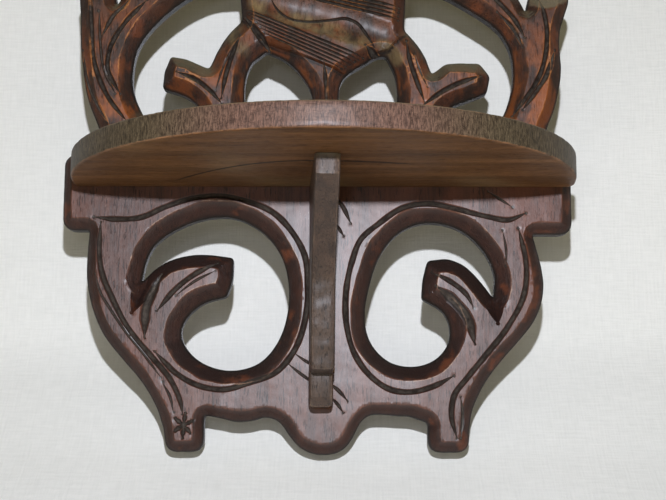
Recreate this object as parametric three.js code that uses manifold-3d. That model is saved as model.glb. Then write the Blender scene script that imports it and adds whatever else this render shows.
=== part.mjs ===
// A folding wall shelf of carved wood. A pierced back board hangs on the wall, a
// half-round shelf folds up against it on two hinges, and a thin support bracket swings
// out under the shelf on two more.
//
// Millimetres. +X is to the right, +Y goes into the wall and +Z is up. The origin is on
// the wall side of the back board, midway between its ears, level with the shelf's top.

import * as THREE from 'three';
import { mergeVertices } from 'three/addons/utils/BufferGeometryUtils.js';
import Module from 'manifold-3d';

const wasm = await Module();
wasm.setup();

// Driving dimensions of the back board
const backWidth = 257;
const dropBelowShelf = 145.5;
const riseAboveShelf = 154;
const backThickness = 12;
const lowerBevel = 5;
const upperBevel = 4;
const bevelDepth = 5;

// Driving dimensions of the carving: half the width and the depth of each kind of cut
const grooveHalfWidth = 2;
const grooveDepth = 2;
const leafHalfWidth = 2.8;
const leafDepth = 2.4;
const ribHalfWidth = 1;
const ribDepth = 1.3;
const hollowHalfWidth = 8;
const hollowDepth = 2;
const shellRadius = 40;
const shellEyeRadius = 12;
const shellFlutes = 9;

// Driving dimensions of the shelf
const shelfRadius = 125.3;
const shelfThickness = 12;
const shelfCentreX = 3.4;
const shelfArris = 0.8;
const shelfCornerRadius = 4;
const shelfEdgeGap = 0.4;

// Driving dimensions of the support bracket
const bracketThickness = 11.5;
const bracketReach = 79.6;
const bracketTipHeight = 9;
const bracketTipRake = 1.5;
const bracketKnee = 58;
const bracketKneeDrop = 25;
const bracketWaist = 38;
const bracketWaistDrop = 49.5;
const bracketShin = 30;
const bracketHeight = 110;
const bracketTail = 18;
const bracketTailHeight = 17;
const bracketTailRake = 1.5;
const bracketTailChamfer = 4.5;
const bracketBevel = 2;
const bracketCentreX = 2;
const bracketTurnDegrees = 3;
const bracketEdgeGap = 0.4;
const bracketTopGap = 0.3;

// Driving dimensions of the four hinges
const hingeLength = 25;
const leafWidth = 10;
const leafThickness = 1;
const knuckleRadius = 2;
const knuckleGap = 0.4;
const pinRadius = 0.9;
const pinClearance = 0.1;
const runningGap = 0.3;
const fitClearance = 0.2;
const shelfHingeOffset = 70;
const bracketHingeInset = 0.7;
const upperBracketHingeDrop = 24;
const lowerBracketHingeDrop = 80;

// Driving dimensions of the countersunk screws
const screwHeadRadius = 2.2;
const screwShankRadius = 1.1;
const screwHeadDepth = 1.4;
const screwLength = 9;
const screwPointLength = 2;
const screwSlotWidth = 0.6;
const screwSlotDepth = 0.6;
const screwSpacing = 16;
const screwFromAxis = 5.8;

// Driving dimensions of the keyhole hanger plate
const hangerRise = 130;
const hangerLength = 44;
const hangerHeight = 18;
const hangerThickness = 1.5;
const hangerScrewSpacing = 34;
const keyholeEntryRadius = 4.5;
const keyholeSlotRadius = 2.25;
const keyholeTravel = 5;
const keyholePocketDepth = 5;
const keyholePocketMargin = 1.5;

// How finely the curves are cut into flats
const chordLength = 5;
const cornerSteps = 3;
const shelfArcSteps = 60;
const roundSegments = 12;
const samePlace = 0.05;

// How far a cutter runs past the face that it cuts
const overrun = 1;
const carvingOverrun = 0.3;

// Places that follow from the sizes
const frontY = -backThickness;
const shelfUnderside = -shelfThickness;
const widestBevel = Math.max(lowerBevel, upperBevel);
const cornerRadius = widestBevel + 0.5;
const cornerReach = 1.4 * widestBevel;
const knuckleLength = (hingeLength - 2 * knuckleGap) / 3;
const shelfAxis = {
  y: frontY - (knuckleRadius - leafThickness),
  z: knuckleRadius - leafThickness,
};
const bracketAxis = {
  x: bracketCentreX + bracketThickness / 2 - bracketHingeInset,
  y: frontY - knuckleRadius,
};
const bracketTop = shelfUnderside - bracketTopGap;

const materials = {
  backWood: new THREE.MeshStandardMaterial({ color: 0x5f463a, roughness: 0.5, metalness: 0 }),
  shelfWood: new THREE.MeshStandardMaterial({ color: 0x6d5c4c, roughness: 0.55, metalness: 0 }),
  bracketWood: new THREE.MeshStandardMaterial({ color: 0x51402f, roughness: 0.5, metalness: 0 }),
  agedBrass: new THREE.MeshStandardMaterial({ color: 0x8a6d3b, roughness: 0.45, metalness: 0.9 }),
  agedSteel: new THREE.MeshStandardMaterial({ color: 0x55524d, roughness: 0.5, metalness: 0.9 }),
};

// Solid operations

function toManifold(geometry) {
  const bare = new THREE.BufferGeometry();
  bare.setAttribute('position', geometry.getAttribute('position').clone());
  if (geometry.index) bare.setIndex(geometry.index.clone());
  const merged = mergeVertices(bare, 1e-4);
  const corners = merged.index.array;
  const triVerts = [];
  for (let i = 0; i < corners.length; i += 3) {
    const [a, b, c] = [corners[i], corners[i + 1], corners[i + 2]];
    if (a !== b && b !== c && c !== a) triVerts.push(a, b, c);
  }
  const vertProperties = new Float32Array(merged.getAttribute('position').array);
  const mesh = new wasm.Mesh({ numProp: 3, vertProperties, triVerts: new Uint32Array(triVerts) });
  return new wasm.Manifold(mesh);
}

function toGeometry(manifold) {
  const { vertProperties, triVerts } = manifold.getMesh();
  const geometry = new THREE.BufferGeometry();
  geometry.setAttribute('position', new THREE.BufferAttribute(vertProperties, 3));
  geometry.setIndex(new THREE.BufferAttribute(triVerts, 1));
  geometry.computeVertexNormals();
  return geometry;
}

function join(...geometries) {
  const [first, ...others] = geometries.map(toManifold);
  return toGeometry(others.reduce((body, other) => body.add(other), first));
}

function cut(geometry, ...tools) {
  const whole = toManifold(geometry);
  return toGeometry(tools.reduce((body, tool) => body.subtract(toManifold(tool)), whole));
}

// A box given by its lowest and highest corners
function box([x0, y0, z0], [x1, y1, z1]) {
  const geometry = new THREE.BoxGeometry(x1 - x0, y1 - y0, z1 - z0);
  return geometry.translate((x0 + x1) / 2, (y0 + y1) / 2, (z0 + z1) / 2);
}

// A round bar along X, centred at the given X
function barAlongX(radius, length, x) {
  const geometry = new THREE.CylinderGeometry(radius, radius, length, roundSegments);
  return geometry.rotateZ(Math.PI / 2).translate(x, 0, 0);
}

// The back board's pattern is a drawing with units of its own, which is stretched to the
// driving dimensions. X is to the right and Z is up from the shelf's top.

const drawn = {
  width: 257,
  drop: 145.5,
  rise: 154,
  earX: 128.5,
  earTop: 5.5,
  leftEarBottom: -33.5,
  rightEarBottom: -35.2,
  footBottom: -144,
  lowerHalfTop: 25,
  upperHalfBottom: -27,
};

function at([x, z]) {
  const stretchZ = z < 0 ? dropBelowShelf / drawn.drop : riseAboveShelf / drawn.rise;
  return new THREE.Vector2(x * backWidth / drawn.width, z * stretchZ);
}

const straight = (...points) => points.map(at);

// A smooth run through the points. Close to its ends it has no other point, so that a
// bevel can turn round a sharp corner there.
function smooth(...points) {
  const curve = new THREE.SplineCurve(points.map(at));
  const spaced = curve.getSpacedPoints(Math.ceil(curve.getLength() / chordLength));
  const [start, end] = [spaced[0], spaced.at(-1)];
  const isClear = (point) => (
    Math.min(point.distanceTo(start), point.distanceTo(end)) > cornerReach
  );
  return [start, ...spaced.filter(isClear), end];
}

// A quarter round in place of a square corner. The wood is on the side of the corner
// that [toX, toZ] points to, and the round runs anticlockwise from startDegrees.
function roundCorner(point, [toX, toZ], startDegrees) {
  const corner = at(point);
  const points = [];
  for (let step = 0; step <= cornerSteps; step += 1) {
    const angle = THREE.MathUtils.degToRad(startDegrees + (90 * step) / cornerSteps);
    points.push(new THREE.Vector2(
      corner.x + cornerRadius * (toX + Math.cos(angle)),
      corner.y + cornerRadius * (toZ + Math.sin(angle)),
    ));
  }
  return points;
}

// One closed loop from runs of points, without the points that two runs share
function loop(...runs) {
  const points = runs.flat();
  return points.filter((point, i) => point.distanceTo(points.at(i - 1)) > samePlace);
}

// From the left ear down round the feet and up to the right ear
const lowerOutline = () => loop(
  straight([-drawn.earX, drawn.lowerHalfTop]),
  roundCorner([-drawn.earX, drawn.leftEarBottom], [1, 1], 180),
  smooth(
    [-114.8, drawn.leftEarBottom], [-115.6, -46], [-115.5, -58], [-112.8, -71.5], [-106.5, -86],
    [-96.5, -98.5], [-86.5, -110], [-79, -122.5], [-75.4, -133],
  ),
  roundCorner([-74.6, drawn.footBottom], [1, 1], 180),
  roundCorner([-55.5, drawn.footBottom], [-1, 1], 270),
  smooth(
    [-55.5, -126], [-50, -126.3], [-42, -129], [-33, -129], [-24.5, -127], [-17.5, -130],
    [-13.5, -135.8], [-8, -141.8], [-1, -145], [6, -145.3], [13, -143], [18, -137],
    [21.5, -130], [26, -126], [33, -125.6], [42, -126.3], [50, -126.8], [55.2, -129.5],
  ),
  roundCorner([55.2, drawn.footBottom], [1, 1], 180),
  roundCorner([75.3, drawn.footBottom], [-1, 1], 270),
  smooth(
    [75.4, -134], [76, -128], [78.2, -120.5], [83.7, -109.7], [91.5, -99.3], [100.5, -89.2],
    [107.9, -80], [112.2, -70.5], [113.7, -60.3], [112.3, -50], [110, -41],
    [108.5, drawn.rightEarBottom],
  ),
  roundCorner([drawn.earX, drawn.rightEarBottom], [-1, 1], 270),
  straight([drawn.earX, drawn.lowerHalfTop]),
);

// From the right ear up round the prongs and the crest and down to the left ear
const upperOutline = () => loop(
  straight([drawn.earX, drawn.upperHalfBottom]),
  roundCorner([drawn.earX, drawn.earTop], [-1, -1], 0),
  smooth(
    [120.5, drawn.earTop], [117.3, 8.5], [116.2, 14], [117.4, 20.5], [120.5, 28], [123.2, 38],
    [125, 50], [124.4, 63], [125, 72], [127.5, 79.5], [129.6, 86.5],
  ),
  roundCorner([129.6, 94], [-1, -1], 0),
  roundCorner([109, 94], [1, -1], 90),
  smooth(
    [107.3, 81.2], [101.5, 92], [94, 102.5], [84, 112], [72, 120], [60, 125.7], [47, 129.5],
  ),
  smooth(
    [47, 129.5], [40, 139], [28, 148], [14, 153], [2, 154], [-10, 153], [-24, 148], [-36, 139],
    [-43, 129.5],
  ),
  smooth(
    [-43, 129.5], [-56, 127], [-70, 121.5], [-83, 112.5], [-93, 102], [-100, 92.5],
    [-104.2, 84.5],
  ),
  roundCorner([-105.8, 98], [-1, -1], 0),
  roundCorner([-124, 98], [1, -1], 90),
  smooth(
    [-123.7, 88], [-123, 81], [-122.7, 72], [-122.2, 61], [-120.8, 51], [-119.4, 41.5],
    [-117.4, 33.3], [-114.4, 25.7], [-111.4, 18], [-110.6, 12], [-113.2, 7.2], [-118.5, drawn.earTop],
  ),
  roundCorner([-drawn.earX, drawn.earTop], [1, -1], 90),
  straight([-drawn.earX, drawn.upperHalfBottom]),
);

// The two scroll openings below the shelf: round the ring, then round the curled stub
const lowerOpenings = () => [
  loop(
    smooth(
      [-88.2, -59.8], [-86.3, -50.3], [-81.2, -40.2], [-69.5, -32], [-55.2, -27.1],
      [-40.9, -27.2], [-27.7, -34.1], [-18.5, -45.3], [-14.3, -60], [-14.7, -75.4],
      [-19.3, -89.5], [-28.4, -100.1], [-41.5, -104], [-54, -101.6], [-63.3, -95.2],
      [-67.7, -86.5], [-65.4, -78.4], [-58.5, -71.5], [-51.1, -68.4], [-45, -67],
    ),
    smooth([-45, -67], [-42.4, -58.5], [-42, -47.3]),
    smooth(
      [-42, -47.3], [-51.6, -46], [-62, -45.8], [-72.8, -48.2], [-81, -52.8], [-88.2, -59.8],
    ),
  ),
  loop(
    smooth(
      [88.6, -67.5], [89.3, -56], [84.3, -44.2], [74.5, -34.3], [63, -29.8], [51, -29.9],
      [40, -35.5], [31.5, -46.5], [26.5, -61], [24, -77], [27, -90], [36, -99.3], [48, -101.8],
      [59, -98.3], [66, -89.5], [65.6, -78.5], [59.5, -71.3], [52.5, -67.8],
    ),
    smooth([52.5, -67.8], [53.3, -58], [55.6, -48.5]),
    smooth([55.6, -48.5], [64, -47.4], [73, -50.3], [80.6, -57.2], [88.6, -67.5]),
  ),
];

// The four openings above the shelf: the two arches, each with its stub, and the two
// small openings beside the centre stem
const upperOpenings = () => [
  loop(
    smooth(
      [-79.8, 40.5], [-73.2, 38.7], [-68.1, 36.5], [-63.3, 33.4], [-59.6, 28], [-60, 20.5],
      [-66, 15.4], [-75, 15], [-84.5, 19.2], [-90.3, 28.1], [-94.4, 37.5], [-95.4, 47],
      [-93.8, 59], [-88.9, 68.8], [-79.9, 79], [-67.5, 88.8], [-54, 95.2], [-41, 96.5],
    ),
    smooth([-41, 96.5], [-40.2, 88], [-39.3, 77]),
    smooth([-39.3, 77], [-43.8, 72.4], [-48, 66.9], [-51.4, 61.1], [-53.9, 56], [-56, 51.1]),
    smooth([-56, 51.1], [-62.4, 53.8], [-68.5, 56.4], [-75.8, 57.7]),
    smooth([-75.8, 57.7], [-78.8, 50], [-79.8, 40.5]),
  ),
  loop(
    smooth([86.8, 38.3], [88.9, 44], [87.2, 51], [83.2, 54.2]),
    smooth([83.2, 54.2], [72, 54.3], [65.5, 53.5], [61.5, 51.6], [58.6, 48.3]),
    smooth([58.6, 48.3], [57.5, 52.5], [55.3, 57.2], [52, 62.9], [47.8, 68.6], [44.4, 72.2]),
    smooth([44.4, 72.2], [45, 82], [45.5, 93]),
    smooth(
      [45.5, 93], [56, 93.2], [66.4, 89.6], [76, 84], [86, 77.6], [93.5, 71], [98.6, 62],
      [100.5, 51], [99.6, 40], [95.9, 28.4], [90.5, 20.2], [82.5, 15.8], [73, 15], [65, 18],
      [63, 24], [66.5, 29.5], [73, 33], [80, 35.4], [86.8, 38.3],
    ),
  ),
  loop(
    smooth(
      [-26.5, 60.7], [-22.3, 58.8], [-17.2, 56.1], [-12.1, 51.8], [-7.8, 46.7], [-4.5, 41],
      [-2.7, 35], [-3.4, 26], [-8.5, 18], [-18, 15], [-28, 16.2], [-35, 22], [-37.4, 32],
      [-37.4, 43.4], [-35.2, 52], [-31.6, 57.2], [-26.5, 60.7],
    ),
  ),
  loop(
    smooth(
      [30.4, 57.8], [23.5, 53.5], [16.8, 49.4], [12.2, 44.6], [10.8, 37], [11.4, 27],
      [16, 18.5], [24.5, 15], [33, 17.2], [38.6, 24], [40.7, 33], [40.5, 43], [38.6, 51.5],
      [35.2, 57.9],
    ),
  ),
];

// A board with a flat back and bevelled front arrises, from its outline and openings
function bevelledBoard(outline, openings, bevelWidth) {
  const shape = new THREE.Shape(outline);
  shape.holes = openings.map((points) => new THREE.Path(points));
  const straightDepth = backThickness - bevelDepth;
  const board = new THREE.ExtrudeGeometry(shape, {
    depth: straightDepth,
    steps: 1,
    bevelThickness: bevelDepth,
    bevelSize: bevelWidth,
    bevelOffset: -bevelWidth,
    bevelSegments: 2,
  }).rotateX(Math.PI / 2);
  const beyond = 2 * backWidth;
  const behindWall = box([-beyond, 0, -beyond], [beyond, backThickness, beyond]);
  return cut(board, behindWall);
}

// The carving on the face of the board, drawn in the same units as its outline. Each cut
// follows a line of points and comes to a point at both ends.

const alongLine = ([x0, z0], [x1, z1]) => (
  [0, 0.1, 0.9, 1].map((share) => [x0 + (x1 - x0) * share, z0 + (z1 - z0) * share])
);

const grooveLines = () => [
  // Round the left and the right ring
  [
    [-112, -27.5], [-101, -28.5], [-88, -27.5], [-77, -22.5], [-60, -17.2], [-48, -16.5],
    [-34, -19.5], [-22, -25], [-12, -35.5], [-6, -47], [-4.5, -60], [-5.5, -78], [-12, -96],
    [-20, -105], [-33, -110], [-45, -113.5], [-57, -112], [-68, -106.5], [-80, -95],
  ],
  [
    [105, -25], [96, -28.5], [86, -27], [68, -22.5], [56, -20.3], [43, -22.5], [31, -30.5],
    [22, -38.5], [17.5, -50], [14.5, -67], [15, -82], [19, -96], [27, -107], [37, -113.5],
    [47, -114.5], [57, -112], [68, -106.5],
  ],
  // Down the outer stems to the feet
  [
    [-108.5, -30], [-109, -44], [-107.5, -55], [-101.5, -69], [-93, -84], [-82, -97],
    [-72.5, -108], [-67, -119], [-65.5, -126],
  ],
  [
    [101, -33], [104.5, -50], [103.5, -65], [95, -82], [84, -96], [74, -108], [68, -116],
    [66.5, -126], [69, -137],
  ],
  // Along the curled stubs below the shelf
  [[-49.5, -50.5], [-60, -55.8], [-70, -63.5], [-79.5, -75]],
  [[57.5, -54.5], [68, -59], [76, -67], [80, -77]],
  // Along the branches above the shelf
  [[-117.5, 90], [-116.5, 76], [-113.5, 50], [-107, 35], [-97, 22]],
  [[-88, 86], [-99, 74], [-106.5, 60], [-107.5, 50], [-100.5, 36]],
  [[-97, 91], [-86, 101], [-67, 111.5], [-48, 117]],
  [[-72.5, 48], [-62, 43.8], [-55, 38.2], [-48.5, 31]],
  [[-40, 68], [-44, 57], [-47, 46], [-49, 34]],
  [[45.5, 65], [47, 55], [50, 45], [54.5, 32]],
  [[83.5, 46.2], [72, 42.2], [63, 37.5], [53, 30]],
  [[93, 92], [82, 101.5], [64, 111.5], [45, 117]],
  [[86, 92], [94, 84], [101.5, 75], [106, 66]],
  [[114.5, 88], [117.5, 68], [114, 48], [99, 25]],
  // The left end of the tilted scroll in the middle
  [[-38, 78.5], [-34, 73], [-27.8, 64.6], [-23.7, 59]],
];

const leafLines = () => [
  [[-77.5, -56], [-81, -63], [-84.5, -72], [-85.3, -88]],
  [[58.5, -58.5], [67, -67], [75, -76.5], [79, -93.5]],
];

const ribLines = () => [
  // Across the tilted scroll, below its hollow and above it
  alongLine([-37.5, 81.7], [23.4, 56]),
  alongLine([-36.7, 79.1], [19.8, 54.9]),
  alongLine([-35.2, 76.4], [16.1, 52.6]),
  alongLine([-31.5, 73], [13.9, 51.5]),
  alongLine([-27.8, 68], [12.1, 50]),
  alongLine([-12, 94], [41.8, 81.5]),
  alongLine([-14, 92], [41.8, 78.8]),
  alongLine([-16, 90.5], [41.4, 76.1]),
  // The wave in the hollow
  [
    [-24.5, 88], [-21.9, 82.9], [-15.9, 77.4], [-6, 75.3], [5.7, 76.1], [14.7, 76.8],
    [19.6, 74.8], [25.5, 67.6], [30.5, 58.5],
  ],
];

const hollowLines = () => [
  [[-37, 90], [-18.4, 82.1], [8.8, 75.3], [30.7, 67.8], [43, 63]],
];

// Flutes like a shell's on the crest, round a half-round eye
const shellLines = () => {
  const round = (radius, degrees) => {
    const angle = THREE.MathUtils.degToRad(degrees);
    return [2 + radius * Math.cos(angle), 108 + radius * Math.sin(angle)];
  };
  const flutes = Array.from({ length: shellFlutes }, (_, i) => {
    const degrees = 10 + (160 * i) / (shellFlutes - 1);
    return alongLine(round(shellEyeRadius + 3, degrees), round(shellRadius, degrees));
  });
  const eye = [-20, 0, 30, 60, 90, 120, 150, 180, 200].map((degrees) => (
    round(shellEyeRadius, degrees)
  ));
  return [...flutes, eye];
};

// A cutter that follows a line on the face. Its section is given from left to right, as
// shares of the half width and of the depth, and it shrinks to a point at both ends.
function carvingCutter(line, halfWidth, depth, section) {
  const path = line.map(at);
  const positions = [];
  const triangles = [];
  const count = section.length;
  const addTip = (point) => positions.push(point.x, frontY - carvingOverrun, point.y);
  addTip(path[0]);
  for (let i = 1; i < path.length - 1; i += 1) {
    const along = path[i + 1].clone().sub(path[i - 1]).normalize();
    for (const [aside, down] of section) {
      const reach = aside * halfWidth;
      positions.push(
        path[i].x - along.y * reach,
        frontY + (down > 0 ? down * depth : -carvingOverrun),
        path[i].y + along.x * reach,
      );
    }
  }
  addTip(path.at(-1));
  const lastSection = path.length - 3;
  const corner = (place, j) => 1 + place * count + (j % count);
  const endTip = 1 + (lastSection + 1) * count;
  for (let j = 0; j < count; j += 1) {
    triangles.push(0, corner(0, j), corner(0, j + 1));
    for (let i = 0; i < lastSection; i += 1) {
      triangles.push(corner(i, j), corner(i + 1, j), corner(i + 1, j + 1));
      triangles.push(corner(i, j), corner(i + 1, j + 1), corner(i, j + 1));
    }
    triangles.push(corner(lastSection, j), endTip, corner(lastSection, j + 1));
  }
  const geometry = new THREE.BufferGeometry();
  geometry.setAttribute('position', new THREE.Float32BufferAttribute(positions, 3));
  geometry.setIndex(triangles);
  return geometry;
}

function carving() {
  const vee = [[1, 0], [0, 1], [-1, 0]];
  const tray = [[1, 0], [0.45, 1], [-0.45, 1], [-1, 0]];
  return [
    ...grooveLines().map((line) => carvingCutter(line, grooveHalfWidth, grooveDepth, vee)),
    ...leafLines().map((line) => carvingCutter(line, leafHalfWidth, leafDepth, vee)),
    ...ribLines().map((line) => carvingCutter(line, ribHalfWidth, ribDepth, vee)),
    ...shellLines().map((line) => carvingCutter(line, grooveHalfWidth, grooveDepth, vee)),
    ...hollowLines().map((line) => carvingCutter(line, hollowHalfWidth, hollowDepth, tray)),
  ];
}

function screw(extra = 0) {
  const head = screwHeadRadius + extra;
  const shank = screwShankRadius + extra;
  const profile = [
    [0, -screwLength - extra],
    [shank, -screwLength + screwPointLength],
    [shank, -screwHeadDepth],
    [head, -extra],
    [head, extra],
    [0, extra],
  ].map(([radius, y]) => new THREE.Vector2(radius, y));
  return new THREE.LatheGeometry(profile, roundSegments);
}

function slottedScrew() {
  const slot = box(
    [-screwHeadRadius - overrun, -screwSlotDepth, -screwSlotWidth / 2],
    [screwHeadRadius + overrun, overrun, screwSlotWidth / 2],
  );
  return cut(screw(), slot);
}

// Butt hinge. Each leaf is drawn with the pin's axis along X and its plate going up
// along +Z. side is +1 when the plate lies on the +Y side of the pin and -1 when it
// lies on the -Y side. The screws go through the plate, away from the pin.

const fixedKnuckles = [-1, 1];
const movingKnuckles = [0];
const knuckleX = (place) => place * (knuckleLength + knuckleGap);

function leafScrewPlaces(side) {
  return [-1, 1].map((end) => new THREE.Matrix4()
    .makeTranslation(end * screwSpacing / 2, side * (knuckleRadius - leafThickness), screwFromAxis)
    .multiply(new THREE.Matrix4().makeRotationX(side > 0 ? Math.PI : 0)));
}

function leafScrewHoles(side) {
  return leafScrewPlaces(side).map((place) => screw(fitClearance).applyMatrix4(place));
}

function hingeLeaf(side, own, others) {
  const inner = side * (knuckleRadius - leafThickness);
  const outer = side * knuckleRadius;
  const plate = box(
    [-hingeLength / 2, Math.min(inner, outer), 0],
    [hingeLength / 2, Math.max(inner, outer), leafWidth],
  );
  const knuckles = own.map((place) => barAlongX(knuckleRadius, knuckleLength, knuckleX(place)));
  const rooms = others.map((place) => barAlongX(
    knuckleRadius + runningGap,
    knuckleLength + 2 * knuckleGap,
    knuckleX(place),
  ));
  const bore = barAlongX(pinRadius + pinClearance, 2 * hingeLength, 0);
  return cut(join(plate, ...knuckles), bore, ...rooms, ...leafScrewHoles(side));
}

function hingePin() {
  return barAlongX(pinRadius, hingeLength, 0);
}

// The room for the knuckles, with a running gap round them and at both ends
function knuckleRoom() {
  return barAlongX(knuckleRadius + runningGap, hingeLength + 2 * runningGap, 0);
}

// The shallow pocket that a leaf lies in, flush with the face of the wood
function leafPocket(side) {
  const floor = side * knuckleRadius;
  return box(
    [-hingeLength / 2 - fitClearance, Math.min(0, floor), 0],
    [hingeLength / 2 + fitClearance, Math.max(0, floor), leafWidth + fitClearance],
  );
}

const turnX = (angle) => new THREE.Matrix4().makeRotationX(angle);
const turnY = (angle) => new THREE.Matrix4().makeRotationY(angle);
const move = (x, y, z) => new THREE.Matrix4().makeTranslation(x, y, z);

const shelfHinges = [
  { name: 'shelf_hinge_left', x: shelfCentreX - shelfHingeOffset },
  { name: 'shelf_hinge_right', x: shelfCentreX + shelfHingeOffset },
].map(({ name, x }) => {
  const fixed = move(x, shelfAxis.y, shelfAxis.z);
  return { name, fixed, moving: fixed.clone().multiply(turnX(Math.PI / 2)) };
});

// The bracket's hinges stand upright. moving is given inside the bracket's own group,
// whose origin is on the pins' axis at the level of the shelf's top.
const bracketHinges = [
  { name: 'bracket_hinge_upper', drop: upperBracketHingeDrop },
  { name: 'bracket_hinge_lower', drop: lowerBracketHingeDrop },
].map(({ name, drop }) => {
  const upright = turnY(-Math.PI / 2);
  const z = bracketTop - drop;
  return {
    name,
    z,
    fixed: move(bracketAxis.x, bracketAxis.y, z).multiply(upright),
    moving: move(0, 0, z).multiply(upright),
  };
});

// Keyhole hanger plate, let into the back of the crest

const hangerScrewPlaces = [-1, 1].map((end) => move(end * hangerScrewSpacing / 2, 0, hangerRise));

function keyholeShape(margin) {
  const entry = keyholeEntryRadius + margin;
  const slot = keyholeSlotRadius + margin;
  const entryZ = hangerRise - keyholeTravel / 2;
  const slotZ = hangerRise + keyholeTravel / 2;
  const shoulder = Math.asin(slot / entry);
  const shape = new THREE.Path();
  shape.absarc(0, entryZ, entry, Math.PI / 2 + shoulder, Math.PI * 2.5 - shoulder, false);
  shape.absarc(0, slotZ, slot, 0, Math.PI, false);
  return shape.getPoints(roundSegments / 2);
}

// A flat piece from an outline in X and Z, between two depths
function slab(outline, holes, backY, depth) {
  const shape = new THREE.Shape(outline);
  shape.holes = holes.map((points) => new THREE.Path(points));
  const geometry = new THREE.ExtrudeGeometry(shape, { depth, steps: 1, bevelEnabled: false });
  return geometry.rotateX(Math.PI / 2).translate(0, backY, 0);
}

function hangerOutline(margin) {
  const halfLength = hangerLength / 2 + margin;
  const halfHeight = hangerHeight / 2 + margin;
  return [
    new THREE.Vector2(-halfLength, hangerRise - halfHeight),
    new THREE.Vector2(halfLength, hangerRise - halfHeight),
    new THREE.Vector2(halfLength, hangerRise + halfHeight),
    new THREE.Vector2(-halfLength, hangerRise + halfHeight),
  ];
}

function hangerScrewHoles() {
  return hangerScrewPlaces.map((place) => screw(fitClearance).applyMatrix4(place));
}

function hangerPlate() {
  const plate = slab(hangerOutline(0), [keyholeShape(0)], 0, hangerThickness);
  return cut(plate, ...hangerScrewHoles());
}

// Wooden pieces

// The lower and the upper half of the board are drawn apart, because the arrises above
// the shelf are narrower. They overlap on a line that the shelf hides.
function backBoard() {
  const meetZ = shelfUnderside / 2;
  const beyond = 2 * backWidth;
  const lowerHalf = bevelledBoard(lowerOutline(), lowerOpenings(), lowerBevel);
  const upperHalf = bevelledBoard(upperOutline(), upperOpenings(), upperBevel);
  const aboveMeeting = box([-beyond, -beyond, meetZ + overrun], [beyond, beyond, beyond]);
  const belowMeeting = box([-beyond, -beyond, -beyond], [beyond, beyond, meetZ]);
  return join(cut(lowerHalf, aboveMeeting), cut(upperHalf, belowMeeting));
}

function backPanel() {
  const shelfHingeCuts = shelfHinges.flatMap(({ fixed }) => (
    [knuckleRoom(), leafPocket(1), ...leafScrewHoles(1)].map((tool) => tool.applyMatrix4(fixed))
  ));
  const bracketHingeCuts = bracketHinges.flatMap(({ fixed }) => (
    [knuckleRoom(), ...leafScrewHoles(1)].map((tool) => tool.applyMatrix4(fixed))
  ));
  const hangerRecess = slab(
    hangerOutline(fitClearance),
    [],
    overrun,
    hangerThickness + overrun,
  );
  const keyholePocket = slab(
    keyholeShape(keyholePocketMargin),
    [],
    0,
    hangerThickness + keyholePocketDepth,
  );
  return cut(
    backBoard(),
    ...carving(),
    ...shelfHingeCuts,
    ...bracketHingeCuts,
    hangerRecess,
    keyholePocket,
    ...hangerScrewHoles(),
  );
}

function shelfBoard() {
  const rearY = frontY - shelfEdgeGap;
  const outline = [];
  for (let step = 0; step <= shelfArcSteps; step += 1) {
    const angle = Math.PI + (Math.PI * step) / shelfArcSteps;
    outline.push(new THREE.Vector2(
      shelfCentreX + shelfRadius * Math.cos(angle),
      Math.min(frontY + shelfRadius * Math.sin(angle), rearY - shelfCornerRadius),
    ));
  }
  for (const side of [1, -1]) {
    const centreX = shelfCentreX + side * (shelfRadius - shelfCornerRadius);
    const startDegrees = side > 0 ? 0 : 90;
    for (let step = 0; step <= cornerSteps; step += 1) {
      const angle = THREE.MathUtils.degToRad(startDegrees + (90 * step) / cornerSteps);
      outline.push(new THREE.Vector2(
        centreX + shelfCornerRadius * Math.cos(angle),
        rearY - shelfCornerRadius + shelfCornerRadius * Math.sin(angle),
      ));
    }
  }
  const points = outline.filter((point, i) => point.distanceTo(outline.at(i - 1)) > samePlace);
  const board = new THREE.ExtrudeGeometry(new THREE.Shape(points), {
    depth: shelfThickness - 2 * shelfArris,
    steps: 1,
    bevelThickness: shelfArris,
    bevelSize: shelfArris,
    bevelOffset: -shelfArris,
    bevelSegments: 1,
  }).translate(0, 0, shelfUnderside + shelfArris);
  const hingeCuts = shelfHinges.flatMap(({ moving }) => (
    [knuckleRoom(), leafPocket(-1), ...leafScrewHoles(-1)].map((tool) => tool.applyMatrix4(moving))
  ));
  return cut(board, ...hingeCuts);
}

// The bracket's side view, as forward distance from the face of the back board and
// height, from the front of the tip down to the foot of the tail
function bracketProfile() {
  const tipBottom = bracketTop - bracketTipHeight;
  const bottom = bracketTop - bracketHeight;
  const stepZ = bottom + bracketTailHeight;
  const waistZ = bracketTop - bracketWaistDrop;
  const tailFace = bracketTail - bracketTailRake;
  const curve = new THREE.SplineCurve([
    [bracketReach - bracketTipRake, tipBottom],
    [bracketKnee, bracketTop - bracketKneeDrop],
    [bracketWaist, waistZ],
    [(bracketWaist + bracketShin) / 2, (waistZ + stepZ) / 2],
    [bracketShin, stepZ],
  ].map(([forward, z]) => new THREE.Vector2(forward, z)));
  const front = curve.getSpacedPoints(Math.ceil(curve.getLength() / chordLength));
  return [
    new THREE.Vector2(bracketReach, bracketTop + bracketBevel),
    ...front,
    new THREE.Vector2(bracketTail, stepZ - bracketTailRake),
    new THREE.Vector2(tailFace, bottom + bracketTailChamfer),
    new THREE.Vector2(tailFace - bracketTailChamfer, bottom),
    new THREE.Vector2(-bracketBevel, bottom),
    new THREE.Vector2(-bracketBevel, bracketTop + bracketBevel),
  ];
}

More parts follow.
